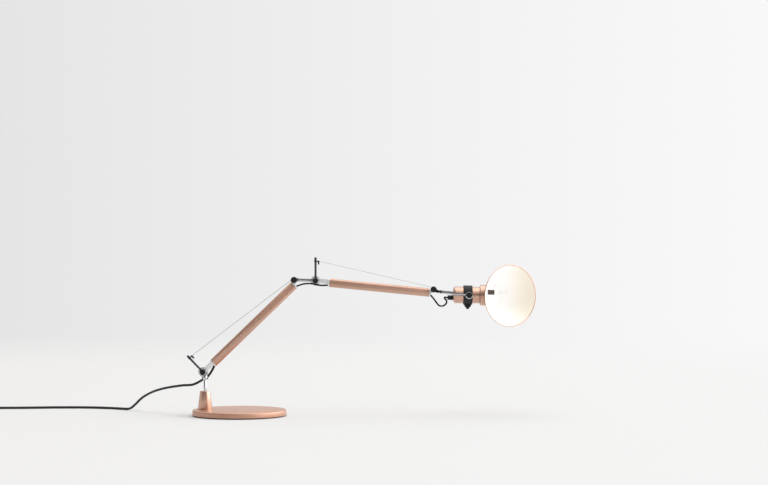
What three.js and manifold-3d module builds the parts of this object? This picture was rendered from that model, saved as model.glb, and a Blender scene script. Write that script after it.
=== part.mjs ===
// A desk lamp with two balanced arms: a weighted disc base, a swivel post, a lower arm, an elbow link,
// an upper arm, a wrist fork and a head whose conical shade hangs on the side of a round housing.
// Lengths are in millimetres, +Z is up, the arms lie in the XZ plane, +Y points away from the viewer, and
// the origin is the centre of the base's underside.

import * as THREE from 'three';
import { mergeVertices } from 'three/addons/utils/BufferGeometryUtils.js';
import Module from 'manifold-3d';

const wasm = await Module();
wasm.setup();

// Fits shared by all pieces
const fit = 0.3; // clearance between two pieces that touch on the real lamp
const overrun = 4; // how far a cutter reaches past what it cuts
const roundSides = 16;
const baseSides = 64;

// Base
const baseRadius = 85;
const feltSetback = 5;
const feltThick = 1.5;
const baseHeight = 11.5;
const baseEdgeRadius = 2.5;
const coverWall = 1.5;
const coneHeight = 33.5;
const coneFootRadius = 13.5;
const coneTopRadius = 9.3;
const coneEdge = 0.8;
const coneFloor = 8.5; // solid metal under the swivel bore
const bushRadius = 4.5;
const bushFloor = 1.2;
const screwRadius = 2.5;
const screwHeadRadius = 5;
const screwHeadThick = 3;
const screwBite = 6.5; // thread length inside the cone

// Pivots: each reach is pivot to pivot, each slope is measured from level, positive upwards
const rimSetback = 22.7; // swivel axis in from the base's rim
const shoulderSetback = 3.8; // shoulder behind the swivel axis
const swivelX = rimSetback - baseRadius;
const shoulderX = swivelX - shoulderSetback;
const shoulderZ = 79.1;
const lowerReach = 234.5;
const lowerSlope = degrees(45.3);
const linkReach = 38.8;
const linkSlope = degrees(-1.9);
const upperReach = 214.1;
const upperSlope = degrees(-4.2);
const forkReach = 64.6;
const forkSlope = degrees(-9.3);
const headSlope = degrees(-0.8);

// Post
const postRodRadius = 2.5;
const socketRadius = 4.15;
const socketFoot = 64.6;
const socketTop = 72.6;
const socketDepth = 5.5;
const neckBackShares = [0.85, 0.45]; // of the hub's radius, in X and Z
const neckFrontShares = [0.95, 0.2];
const neckFootShares = [0.9, 0.8]; // of the socket's radius, back and front

// Pivot joints: a hub between two cheeks, a bolt with a rear head, and a front knob
const boltRadius = 1.5;
const boltHeadRadius = 4.8;
const boltHeadThick = 5;
const knobThick = 6;
const knobEdge = 0.8;
const knobGrip = 4.5; // depth of the bolt's hole in a knob
const hubRadius = 5;
const hubHalf = 2.5; // half the thickness of a hub, along Y
const cheekThick = 2;
const cheekRadius = 4.25;
const earRadius = 4.7;
const clevisInner = 2.3; // half the slot between the plates of a clevis
const clevisThick = 2;
const clevisRadius = 4.6;
const clevisRoot = 5.6; // from the pivot to where the two plates join
const linkTallShare = 1.1; // of the hub's radius
const discRadius = 9;
const discThick = 1.6;
const shoulderKnobRadius = 5.25;
const lowerElbowKnobRadius = 5.75;
const upperElbowKnobRadius = 5;
const wristKnobRadius = 5.5;
const tiltKnobRadius = 5.25;

// Arm tubes and their fittings
const tubeTall = 15.6;
const tubeDeep = 11;
const tubeCorner = 5;
const tubeWall = 1.2;
const nearSetback = 25.6; // near pivot to the start of the tube
const nearRise = 1.4; // near pivot above the tube's axis
const farOverhang = 7.5; // end of the tube to the far pivot
const farRise = 6.5; // far pivot above the tube's axis
const flangeThick = 2.2;
const insertLength = 12;
const mainsDrop = 4.1; // mains cord below the tube's axis
const leadDrop = 4.6; // thin lead below the tube's axis
const earFootShare = 0.15; // foot of an ear below the tube's axis, of the tube's height
const springRise = 2.2;
const springRadius = 3.5;
const springWire = 1;
const springLengths = { lower: 105, upper: 90 };

// Balance cables and pulleys
const cableRadius = 0.4;
const pulleyRadius = 3.9;
const pulleyFloor = 2.4;
const pulleyHalf = 1.6;
const pulleyRim = 0.4;
const grooveHalf = 0.5;
const cableTurn = pulleyFloor + fit + cableRadius; // radius at which the cable rounds a pulley

// Levers that hold the fixed ends of the cables
const leverRadius = 2;
const leverStubRadius = 1.2;
const leverStub = 2.4;
const collarFoot = 33;
const collarLength = 5;
const collarRadius = 2.5;
const capRadius = 2.2;
const capEdge = 0.6;
const blockLength = 7.4;
const blockThick = 2.7;
const blockDepth = 5;
const blockOffset = 5.6;
const blockCornerShare = 0.4; // of its thickness
const blockGripShare = 0.3; // of its length, from its middle to the cable
const crossPinRadius = 1.1;
const cablePoint = 35; // along the lever, where the cable leaves its block
const shoulderLeverReach = 41;
const elbowLeverReach = 42;
const shoulderLeverSlope = degrees(133.9);
const elbowLeverSlope = degrees(90);

// Wrist clevis and yoke
const forkDrop = 2.85; // the yoke's axis below the wrist pivot
const bridgeEnd = 10.5;
const neckRadius = 2;
const swivelNutStart = 12.5;
const swivelNutEnd = 15;
const swivelNutRadius = 3.4;
const yokeBack = 15.3;
const yokeBar = 8.4;
const yokeTall = 5;
const tineTall = 4.2;
const tineInner = 18.7;
const tineThick = 2.2;
const yokeCorner = 6;
const eyeRadius = 6.7;

// Head, along the axis of its housing, from the tilt pivot
const ringBack = -10;
const ringFront = 6.3;
const ringRadius = 17.5;
const ringBore = 15.6;
const bossRadius = 5.5;
const bossFace = 18.4;
const bossHoleEnd = 16.1;
const tongueEnd = -23.4;
const tongueTop = -15;
const tongueTipRadius = 6.3;
const tongueHalf = 5.5;
const buttonRadius = 2.7;
const buttonStand = 1.8;
const buttonDepth = 6;
const rearBack = -28.5;
const rearRadius = 15.2;
const rearEdge = 5;
const housingWall = 1.5;
const housingMeet = -2; // where the rear and the front housing meet, inside the ring
const frontRadius = 15;
const frontEnd = 20.1;
const frontWall = 2.5;
const glandRadius = 4.5;
const glandNeckRadius = 3.2;
const glandLength = 9.6;
const glandNeckLength = 5;
const glandDrop = 5;
const collarOuter = 19;
const collarBore = 13;
const collarReach = 34;
const collarGrooveStart = 22.6;
const collarGrooveWidth = 1.8;
const collarGrooveDepth = 0.8;
const holderRise = 5.6;
const holderRadius = 4.5;
const holderStart = 8;
const holderEnd = 46;
const holderFlangeRadius = 7;
const holderFlangeThick = 4;
const socketBore = 3.3;
const socketHole = 7;
const bulbRadius = 4.9;
const bulbLength = 25;
const bulbNeckRadius = 3;
const bulbNeck = 6.6;
const bulbTipShares = [[0.8, 0.4], [0.4, 0.1]]; // of its radius, across and from the tip

// Shade: a truncated cone whose side wall stands square to the housing's axis
const mouthRadius = 56;
const crownRadius = 23;
const shadeDepth = 56;
const crownDome = 5;
const shadeWall = 1.4;
const lipThick = 2;
const lipWidth = 2.2;
const shadeStandoff = 27; // tilt pivot to the wall
const shadeForward = 38; // body axis to the mouth's rim, towards the viewer
const shadeSides = 36;

// Cords
const mainsRadius = 2.2;
const leadRadius = 1.6;
const cordSides = 8;
const clipWall = 0.9;
const clipThick = 1.2;
const clipLow = 66;
const clipHigh = 70.6;
const eyeletLength = 6;
const leadInShare = 0.7; // of the eyelet, where the lead runs straight
const coilPitch = 4.9;
const coilInner = 17.7;
const coilTurnsShare = 7.25;
const coilSteps = 24;
const coilSides = 6;
const coilSetback = 447.7; // middle of the coil behind the swivel axis
const coilY = 113.5;
const coilTail = 30;
const floorLift = 0.15;
const plugHalfWide = 16;
const plugHalfTall = 6.8;
const plugLength = 34;
const plugEdge = 3;
const plugShoulderShare = 0.45; // of its length
const plugReliefLength = 24;
const plugReliefRadius = 4.2;
const plugPinRadius = 2;
const plugPinLength = 19;
const plugPinSpacing = 18.6;

function degrees(angle) {
  return (angle * Math.PI) / 180;
}

// Places in the plane of the arms
function onward(from, reach, slope) {
  return new THREE.Vector3(from.x + reach * Math.cos(slope), 0, from.z + reach * Math.sin(slope));
}

const shoulder = new THREE.Vector3(shoulderX, 0, shoulderZ);
const lowerElbow = onward(shoulder, lowerReach, lowerSlope);
const upperElbow = onward(lowerElbow, linkReach, linkSlope);
const wrist = onward(upperElbow, upperReach, upperSlope);
const tilt = onward(wrist, forkReach, forkSlope);

// Solids: welding, cutting and joining
function welded(geometry) {
  const bare = geometry.clone();
  bare.deleteAttribute('normal');
  bare.deleteAttribute('uv');
  const merged = mergeVertices(bare);
  const corners = merged.index.array;
  const place = merged.attributes.position;
  const kept = [];
  let volume = 0;
  const a = new THREE.Vector3();
  const b = new THREE.Vector3();
  const c = new THREE.Vector3();
  for (let i = 0; i < corners.length; i += 3) {
    const [p, q, r] = [corners[i], corners[i + 1], corners[i + 2]];
    if (p === q || q === r || r === p) continue;
    kept.push([p, q, r]);
    a.fromBufferAttribute(place, p);
    b.fromBufferAttribute(place, q);
    c.fromBufferAttribute(place, r);
    volume += a.dot(b.cross(c));
  }
  const ordered = volume < 0 ? kept.map(([p, q, r]) => [p, r, q]) : kept;
  merged.setIndex(ordered.flat());
  return merged;
}

function toSolid(geometry) {
  const ready = welded(geometry);
  return new wasm.Manifold(new wasm.Mesh({
    numProp: 3,
    vertProperties: ready.attributes.position.array,
    triVerts: new Uint32Array(ready.index.array),
  }));
}

function toGeometry(solid) {
  const mesh = solid.getMesh();
  const geometry = new THREE.BufferGeometry();
  geometry.setAttribute('position', new THREE.BufferAttribute(mesh.vertProperties, 3));
  geometry.setIndex(new THREE.BufferAttribute(mesh.triVerts, 1));
  return geometry;
}

function joined(...geometries) {
  const [first, ...others] = geometries.map(toSolid);
  return toGeometry(others.reduce((sum, next) => sum.add(next), first));
}

function cut(geometry, ...cutters) {
  return toGeometry(cutters.map(toSolid).reduce((rest, next) => rest.subtract(next), toSolid(geometry)));
}

function common(first, second) {
  return toGeometry(toSolid(first).intersect(toSolid(second)));
}

// Shapes. Turned and round pieces run along the named axis.
const turns = {
  x: (geometry) => geometry.rotateZ(-Math.PI / 2),
  y: (geometry) => geometry,
  z: (geometry) => geometry.rotateX(Math.PI / 2),
};

function turned(axis, outline, sides = roundSides) {
  const points = outline.map(([radius, along]) => new THREE.Vector2(radius, along));
  return turns[axis](new THREE.LatheGeometry(points, sides));
}

function rod(axis, radius, from, to, sides = roundSides) {
  return turned(axis, [[0, from], [radius, from], [radius, to], [0, to]], sides);
}

function placed(geometry, x, y, z) {
  return geometry.translate(x, y, z);
}

function box(xFrom, xTo, yFrom, yTo, zFrom, zTo) {
  const block = new THREE.BoxGeometry(xTo - xFrom, yTo - yFrom, zTo - zFrom);
  return block.translate((xFrom + xTo) / 2, (yFrom + yTo) / 2, (zFrom + zTo) / 2);
}

// A flat plate whose outline is drawn in X and Z and whose thickness runs along Y
function plate(shape, yFrom, yTo, curveSegments = 6) {
  const flat = new THREE.ExtrudeGeometry(shape, { depth: yTo - yFrom, bevelEnabled: false, curveSegments });
  return flat.rotateX(Math.PI / 2).translate(0, yTo, 0);
}

function pairOfPlates(shape, inner, thick) {
  return [plate(shape, -inner - thick, -inner), plate(shape, inner, inner + thick)];
}

function polygon(points) {
  return new THREE.Shape(points.map(([x, z]) => new THREE.Vector2(x, z)));
}

function roundedRectangle(wide, tall, corner) {
  const right = wide / 2 - corner;
  const top = tall / 2 - corner;
  const shape = new THREE.Shape();
  shape.absarc(right, top, corner, 0, Math.PI / 2);
  shape.absarc(-right, top, corner, Math.PI / 2, Math.PI);
  shape.absarc(-right, -top, corner, Math.PI, Math.PI * 1.5);
  shape.absarc(right, -top, corner, Math.PI * 1.5, Math.PI * 2);
  shape.closePath();
  return shape;
}

// A bar along X whose section is drawn in Y and Z
function bar(section, xFrom, xTo, hole) {
  if (hole) section.holes.push(hole);
  const length = xTo - xFrom;
  const straight = new THREE.ExtrudeGeometry(section, {
    depth: length, bevelEnabled: false, curveSegments: 3,
  });
  const intoX = new THREE.Matrix4().set(0, 0, 1, xFrom, 1, 0, 0, 0, 0, 1, 0, 0, 0, 0, 0, 1);
  return straight.applyMatrix4(intoX);
}

// A route goes straight from each of its points to the next
class Route extends THREE.Curve {
  constructor(points) {
    super();
    this.points = points;
  }

  getPoint(t, target = new THREE.Vector3()) {
    const along = t * (this.points.length - 1);
    const index = Math.min(Math.floor(along), this.points.length - 2);
    return target.lerpVectors(this.points[index], this.points[index + 1], along - index);
  }

  getPointAt(t, target) {
    return this.getPoint(t, target);
  }

  getTangentAt(t, target) {
    return this.getTangent(t, target);
  }
}

function tubeAlong(points, radius, sides) {
  const section = new THREE.Shape();
  for (let side = 0; side < sides; side += 1) {
    const angle = ((side + 0.5) / sides) * Math.PI * 2;
    const corner = [radius * Math.cos(angle), radius * Math.sin(angle)];
    if (side === 0) section.moveTo(...corner);
    else section.lineTo(...corner);
  }
  section.closePath();
  return new THREE.ExtrudeGeometry(section, {
    steps: points.length - 1,
    extrudePath: new Route(points),
  });
}

function smooth(points, steps) {
  return new THREE.CatmullRomCurve3(points, false, 'centripetal').getSpacedPoints(steps);
}

function lengthOf(points) {
  return points.slice(1).reduce((sum, point, i) => sum + point.distanceTo(points[i]), 0);
}

// Finishes
const finishes = {
  copper: { color: 0xc98f74, roughness: 0.35, metalness: 0.85 },
  polished: { color: 0xc9cacc, roughness: 0.12, metalness: 1 },
  satin: { color: 0xb4b6b8, roughness: 0.35, metalness: 1 },
  steel: { color: 0x6d6f72, roughness: 0.5, metalness: 1 },
  black: { color: 0x141415, roughness: 0.45, metalness: 0 },
  blackened: { color: 0x2b2c2e, roughness: 0.35, metalness: 0.9 },
  felt: { color: 0x1d1d1e, roughness: 1, metalness: 0 },
  nylon: { color: 0xe6e2d8, roughness: 0.5, metalness: 0 },
  cord: { color: 0x18181a, roughness: 0.6, metalness: 0 },
  ceramic: { color: 0x5a4036, roughness: 0.5, metalness: 0 },
  glass: { color: 0xf4f1ea, roughness: 0.08, metalness: 0 },
  shade: { color: 0xc98f74, roughness: 0.35, metalness: 0.85 },
};

const lamp = new THREE.Group();

function piece(group, name, finish, geometry) {
  const mesh = new THREE.Mesh(welded(geometry), new THREE.MeshStandardMaterial(finishes[finish]));
  mesh.name = name;
  group.add(mesh);
  return mesh;
}

function frameAt(place, slope) {
  const group = new THREE.Group();
  group.position.copy(place);
  group.rotation.y = -slope;
  lamp.add(group);
  group.updateMatrixWorld(true);
  return group;
}

// Base: felt, steel weight, spun cover, and the cone that carries the post
function buildBase() {
  const weightFoot = feltThick + fit;
  const coverInner = baseHeight - coverWall;
  const weightTop = coverInner - fit;
  const weightRadius = baseRadius - coverWall - fit;
  const boreFoot = baseHeight + coneFloor;
  const coneTop = baseHeight + coneHeight;
  const screwTop = baseHeight + screwBite;
  const screwHole = (from, to) => placed(rod('z', screwRadius + fit, from, to), swivelX, 0, 0);

  piece(lamp, 'base_felt', 'felt', rod('z', baseRadius - feltSetback, 0, feltThick, baseSides));

  const headSeat = weightFoot + screwHeadThick + 2 * fit;
  piece(lamp, 'base_weight', 'steel', cut(
    turned('z', [
      [0, weightFoot], [weightRadius, weightFoot], [weightRadius, weightTop - baseEdgeRadius / 2],
      [weightRadius - baseEdgeRadius, weightTop], [0, weightTop],
    ], baseSides),
    placed(rod('z', screwHeadRadius + fit, 0, headSeat), swivelX, 0, 0),
    screwHole(0, baseHeight),
  ));

  const edge = [];
  const edgeSteps = 3;
  const edgeCentre = baseRadius - baseEdgeRadius;
  for (let i = 0; i <= edgeSteps; i += 1) {
    const angle = (i / edgeSteps) * (Math.PI / 2);
    edge.push([
      edgeCentre + baseEdgeRadius * Math.cos(angle), baseHeight - baseEdgeRadius * (1 - Math.sin(angle)),
    ]);
  }
  const innerRadius = baseRadius - coverWall;
  const cover = turned('z', [
    [0, coverInner], [innerRadius - baseEdgeRadius, coverInner],
    [innerRadius, coverInner - baseEdgeRadius / 2], [innerRadius, weightFoot], [baseRadius, weightFoot],
    ...edge, [0, baseHeight],
  ], baseSides);
  piece(lamp, 'base_cover', 'copper', cut(cover, screwHole(0, baseHeight + overrun)));

  const cone = turned('z', [
    [0, baseHeight], [coneFootRadius, baseHeight], [coneTopRadius, coneTop - coneEdge],
    [coneTopRadius - coneEdge, coneTop], [0, coneTop],
  ], baseSides / 2);
  piece(lamp, 'post_cone', 'copper', cut(
    placed(cone, swivelX, 0, 0),
    placed(rod('z', bushRadius + fit, boreFoot, coneTop + overrun), swivelX, 0, 0),
    screwHole(0, screwTop + fit),
  ));

  const screw = turned('z', [
    [0, weightFoot + fit], [screwHeadRadius, weightFoot + fit],
    [screwHeadRadius, weightFoot + fit + screwHeadThick],
    [screwRadius, weightFoot + fit + screwHeadThick], [screwRadius, screwTop], [0, screwTop],
  ]);
  piece(lamp, 'cone_screw', 'satin', placed(screw, swivelX, 0, 0));

  const bushFoot = boreFoot + fit;
  const rodFoot = bushFoot + bushFloor + fit;
  const bush = turned('z', [
    [0, bushFoot], [bushRadius, bushFoot], [bushRadius, coneTop], [postRodRadius + fit, coneTop],
    [postRodRadius + fit, bushFoot + bushFloor], [0, bushFoot + bushFloor],
  ]);
  piece(lamp, 'swivel_bush', 'nylon', placed(bush, swivelX, 0, 0));
  return rodFoot;
}

// Post: the rod that turns in the cone, and the head that carries the shoulder pivot
function buildPost(rodFoot) {
  const rodTop = socketFoot + socketDepth;
  piece(lamp, 'post_rod', 'polished', placed(rod('z', postRodRadius, rodFoot, rodTop), swivelX, 0, 0));

  const hub = placed(rod('y', hubRadius, -hubHalf, hubHalf), shoulderX, 0, shoulderZ);
  const socket = placed(rod('z', socketRadius, socketFoot, socketTop), swivelX, 0, 0);
  const neck = plate(polygon([
    [shoulderX - hubRadius * neckBackShares[0], shoulderZ - hubRadius * neckBackShares[1]],
    [shoulderX + hubRadius * neckFrontShares[0], shoulderZ - hubRadius * neckFrontShares[1]],
    [swivelX + socketRadius * neckFootShares[1], socketTop - fit],
    [swivelX - socketRadius * neckFootShares[0], socketTop - fit],
  ].reverse()), -hubHalf, hubHalf);
  const head = cut(
    joined(hub, socket, neck),
    placed(rod('z', postRodRadius + fit, 0, rodTop + fit), swivelX, 0, 0),
    placed(rod('y', boltRadius + fit, -overrun, overrun), shoulderX, 0, shoulderZ),
    leverHole(shoulder, shoulderLeverSlope),
  );
  piece(lamp, 'post_head', 'polished', head);
}

// The hole in a hub for the stub of a lever
function leverHole(pivot, slope) {
  const hole = rod('x', leverStubRadius + fit, boltRadius + 3 * fit, hubRadius + overrun, roundSides / 2);
  return hole.rotateY(-slope).translate(pivot.x, 0, pivot.z);
}

// Lever: a rod with a collar near its tip, whose cross pin holds the block that the cable is clamped in
function buildLever(name, pivot, slope, reach) {
  const frame = frameAt(pivot, slope);
  const foot = hubRadius + fit;
  const collarTop = collarFoot + collarLength;
  const blockFace = -blockOffset + blockThick / 2 + fit;
  const shaft = turned('x', [
    [0, foot - leverStub], [leverStubRadius, foot - leverStub], [leverStubRadius, foot], [leverRadius, foot],
    [leverRadius, collarFoot], [collarRadius, collarFoot], [collarRadius, collarTop], [0, collarTop],
  ], roundSides / 2);
  const pin = placed(rod('z', crossPinRadius, blockFace, 0, roundSides / 2), cablePoint, 0, 0);
  piece(frame, `${name}_lever`, 'polished', joined(shaft, pin));

  const capFoot = collarTop + fit;
  piece(frame, `${name}_lever_cap`, 'black', turned('x', [
    [0, capFoot], [capRadius, capFoot], [capRadius, reach - capEdge], [capRadius - capEdge, reach],
    [0, reach],
  ], roundSides / 2));

  const block = roundedRectangle(blockLength, blockThick, blockThick * blockCornerShare);
  const blockCentre = cablePoint - blockLength * blockGripShare;
  piece(frame, `${name}_cable_block`, 'black', placed(
    plate(block, -blockDepth / 2, blockDepth / 2, 3), blockCentre, 0, -blockOffset,
  ));
  const cableStart = new THREE.Vector3(cablePoint, 0, -blockOffset - blockThick / 2 - fit);
  return frame.localToWorld(cableStart);
}

// Bolt, knob and disc of a pivot, turned about Y
function buildPivot(group, at, names, knobRadius, half, disc) {
  const front = half + fit;
  const discBack = front + discThick;
  const headFace = disc ? discBack + fit : front;
  const knob = turned('y', [
    [0, knobGrip], [boltRadius + fit, knobGrip], [boltRadius + fit, 0], [knobRadius, 0],
    [knobRadius, knobThick - knobEdge], [knobRadius - knobEdge, knobThick], [0, knobThick],
  ]).rotateX(Math.PI);
  piece(group, names.knob, 'black', placed(knob, at.x, -front, at.z));

  const tip = -(front + knobGrip - fit);
  const bolt = turned('y', [
    [0, tip], [boltRadius, tip], [boltRadius, headFace], [boltHeadRadius, headFace],
    [boltHeadRadius, headFace + boltHeadThick - knobEdge],
    [boltHeadRadius - knobEdge, headFace + boltHeadThick], [0, headFace + boltHeadThick],
  ]);
  piece(group, names.bolt, 'black', placed(bolt, at.x, 0, at.z));
  if (!disc) return;
  const bore = boltRadius + fit;
  const washer = turned('y', [
    [bore, front], [discRadius, front], [discRadius, discBack], [bore, discBack], [bore, front],
  ]);
  piece(group, names.disc, 'satin', placed(washer, at.x, 0, at.z));
}

// Arm: a flat-sided tube with a fork at its near end, ears at its far end, and a spring that pulls a cable
// over the far pulley to balance the weight beyond it
function buildArm(name, pivot, reach, slope, names, knobs, cableFrom) {
  const rise = farRise - nearRise;
  const axisSlope = slope - Math.asin(rise / reach);
  const frame = frameAt(pivot, axisSlope);
  const alongReach = Math.sqrt(reach ** 2 - rise ** 2);
  const tubeEnd = alongReach - farOverhang;
  const axis = -nearRise;
  const far = { x: alongReach, z: rise };
  const boreTall = tubeTall - 2 * tubeWall;
  const boreDeep = tubeDeep - 2 * tubeWall;
  const boreCorner = tubeCorner - tubeWall;
  const onAxis = (section, from, to, hole) => placed(bar(section, from, to, hole), 0, 0, axis);
  const outside = () => roundedRectangle(tubeDeep, tubeTall, tubeCorner);
  const inside = roundedRectangle(boreDeep, boreTall, boreCorner);
  const insert = (from, to) => onAxis(
    roundedRectangle(boreDeep - 2 * fit, boreTall - 2 * fit, boreCorner), from, to,
  );
  const flange = (from, to) => onAxis(outside(), from, to);
  const boltHole = (at) => placed(rod('y', boltRadius + fit, -tubeDeep, tubeDeep), at.x, 0, at.z);

  piece(frame, `${name}_tube`, 'copper', onAxis(outside(), nearSetback, tubeEnd, inside));

  // Near fork
  const flangeEnd = nearSetback - fit;
  const flangeStart = flangeEnd - flangeThick;
  const insertEnd = nearSetback + insertLength;
  const cheek = new THREE.Shape();
  cheek.absarc(0, 0, cheekRadius, Math.PI / 2, Math.PI * 1.5);
  cheek.lineTo(flangeStart + flangeThick / 2, -cheekRadius);
  cheek.lineTo(flangeStart + flangeThick / 2, cheekRadius);
  cheek.closePath();
  const cheekInner = hubHalf + fit;
  const cordGap = mainsRadius + fit;
  piece(frame, `${name}_fork`, 'satin', cut(
    joined(
      flange(flangeStart, flangeEnd), insert(flangeEnd - flangeThick / 2, insertEnd),
      ...pairOfPlates(cheek, cheekInner, cheekThick),
    ),
    boltHole({ x: 0, z: 0 }),
    placed(rod('x', cordGap, flangeStart - overrun, insertEnd + overrun), 0, 0, axis - mainsDrop),
    box(flangeStart - overrun, insertEnd + overrun, -cordGap, cordGap, -tubeTall, axis - mainsDrop),
  ));

  // Far fitting
  const farFlangeStart = tubeEnd + fit;
  const farFlangeEnd = farFlangeStart + flangeThick;
  const ear = new THREE.Shape();
  ear.moveTo(farFlangeStart, axis - tubeTall * earFootShare);
  ear.lineTo(far.x, far.z - earRadius);
  ear.absarc(far.x, far.z, earRadius, -Math.PI / 2, Math.PI / 2);
  ear.lineTo(farFlangeStart, axis + (tubeTall - tubeCorner) / 2);
  ear.closePath();
  const earInner = clevisInner + clevisThick + fit;
  const leadGap = leadRadius + fit;
  const cableLine = far.z - cableTurn;
  const drillFrom = tubeEnd - insertLength - overrun;
  piece(frame, `${name}_end_fitting`, 'satin', cut(
    joined(
      flange(farFlangeStart, farFlangeEnd),
      insert(tubeEnd - insertLength, farFlangeStart + flangeThick / 2),
      ...pairOfPlates(ear, earInner, cheekThick),
    ),
    boltHole(far),
    placed(rod('x', leadGap, drillFrom, farFlangeEnd + overrun), 0, 0, axis - leadDrop),
    placed(rod('x', cableRadius + 2 * fit, drillFrom, far.x, roundSides / 2), 0, 0, cableLine),
  ));

  // Spring
  const springStart = insertEnd + fit;
  const springEnd = springStart + springLengths[name];
  const coilBore = springRadius - springWire;
  piece(frame, `${name}_spring`, 'steel', placed(turned('x', [
    [coilBore, springStart], [springRadius, springStart], [springRadius, springEnd], [coilBore, springEnd],
    [coilBore, springStart],
  ]), 0, 0, axis + springRise));

  // Pulley and cable
  const pulleyBore = boltRadius + fit;
  piece(frame, `${name}_pulley`, 'nylon', placed(turned('y', [
    [pulleyBore, -pulleyHalf], [pulleyRadius, -pulleyHalf], [pulleyRadius, pulleyRim - pulleyHalf],
    [pulleyFloor, -grooveHalf], [pulleyFloor, grooveHalf], [pulleyRadius, pulleyHalf - pulleyRim],
    [pulleyRadius, pulleyHalf], [pulleyBore, pulleyHalf], [pulleyBore, -pulleyHalf],
  ]), far.x, 0, far.z));

  const start = frame.worldToLocal(cableFrom.clone());
  const heading = Math.atan2(far.z - start.z, far.x - start.x);
  const distance = Math.hypot(far.x - start.x, far.z - start.z);
  const lean = heading + Math.asin(cableTurn / distance);
  const cable = [start];
  const turnSteps = 10;
  for (let i = 0; i <= turnSteps; i += 1) {
    const angle = Math.PI / 2 + lean - (i / turnSteps) * (Math.PI + lean);
    cable.push(new THREE.Vector3(
      far.x + cableTurn * Math.cos(angle), 0, far.z + cableTurn * Math.sin(angle),
    ));
  }
  cable.push(new THREE.Vector3(springEnd - insertLength, 0, cableLine));
  piece(frame, `${name}_cable`, 'satin', tubeAlong(cable, cableRadius, cordSides));

  const cheekFace = cheekInner + cheekThick;
  const earFace = earInner + cheekThick;
  buildPivot(frame, { x: 0, z: 0 }, names.near, knobs.near, cheekFace, true);
  buildPivot(frame, far, names.far, knobs.far, earFace, false);
  return { frame, axis, tubeEnd, insertEnd, flangeStart, farFlangeEnd };
}

// Clevis: two plates round a pulley, joined past its rim
function clevis(rootEnd, drop, tall) {
  const outline = new THREE.Shape();
  outline.absarc(0, 0, clevisRadius, Math.PI * 0.6, Math.PI * 1.4);
  outline.lineTo(rootEnd, -drop - tall / 2);
  outline.lineTo(rootEnd, -drop + tall / 2);
  outline.closePath();
  const outer = clevisInner + clevisThick;
  const root = box(clevisRoot, rootEnd, -outer, outer, -drop - tall / 2, -drop + tall / 2);
  return joined(...pairOfPlates(outline, clevisInner, clevisThick), root);
}

function buildElbowLink() {
  const frame = frameAt(lowerElbow, linkSlope);
  const linkTall = hubRadius * linkTallShare;
  const rootEnd = clevisRoot + clevisThick * 2;
  const link = cut(
    joined(
      clevis(rootEnd, 0, linkTall),
      box(rootEnd - fit, linkReach - hubRadius / 2, -hubHalf, hubHalf, -linkTall / 2, linkTall / 2),
      placed(rod('y', hubRadius, -hubHalf, hubHalf), linkReach, 0, 0),
    ),
    rod('y', boltRadius + fit, -tubeDeep, tubeDeep),
    placed(rod('y', boltRadius + fit, -tubeDeep, tubeDeep), linkReach, 0, 0),
    leverHole({ x: linkReach, z: 0 }, elbowLeverSlope - linkSlope),
  );
  piece(frame, 'elbow_link', 'polished', link);
}

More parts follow.
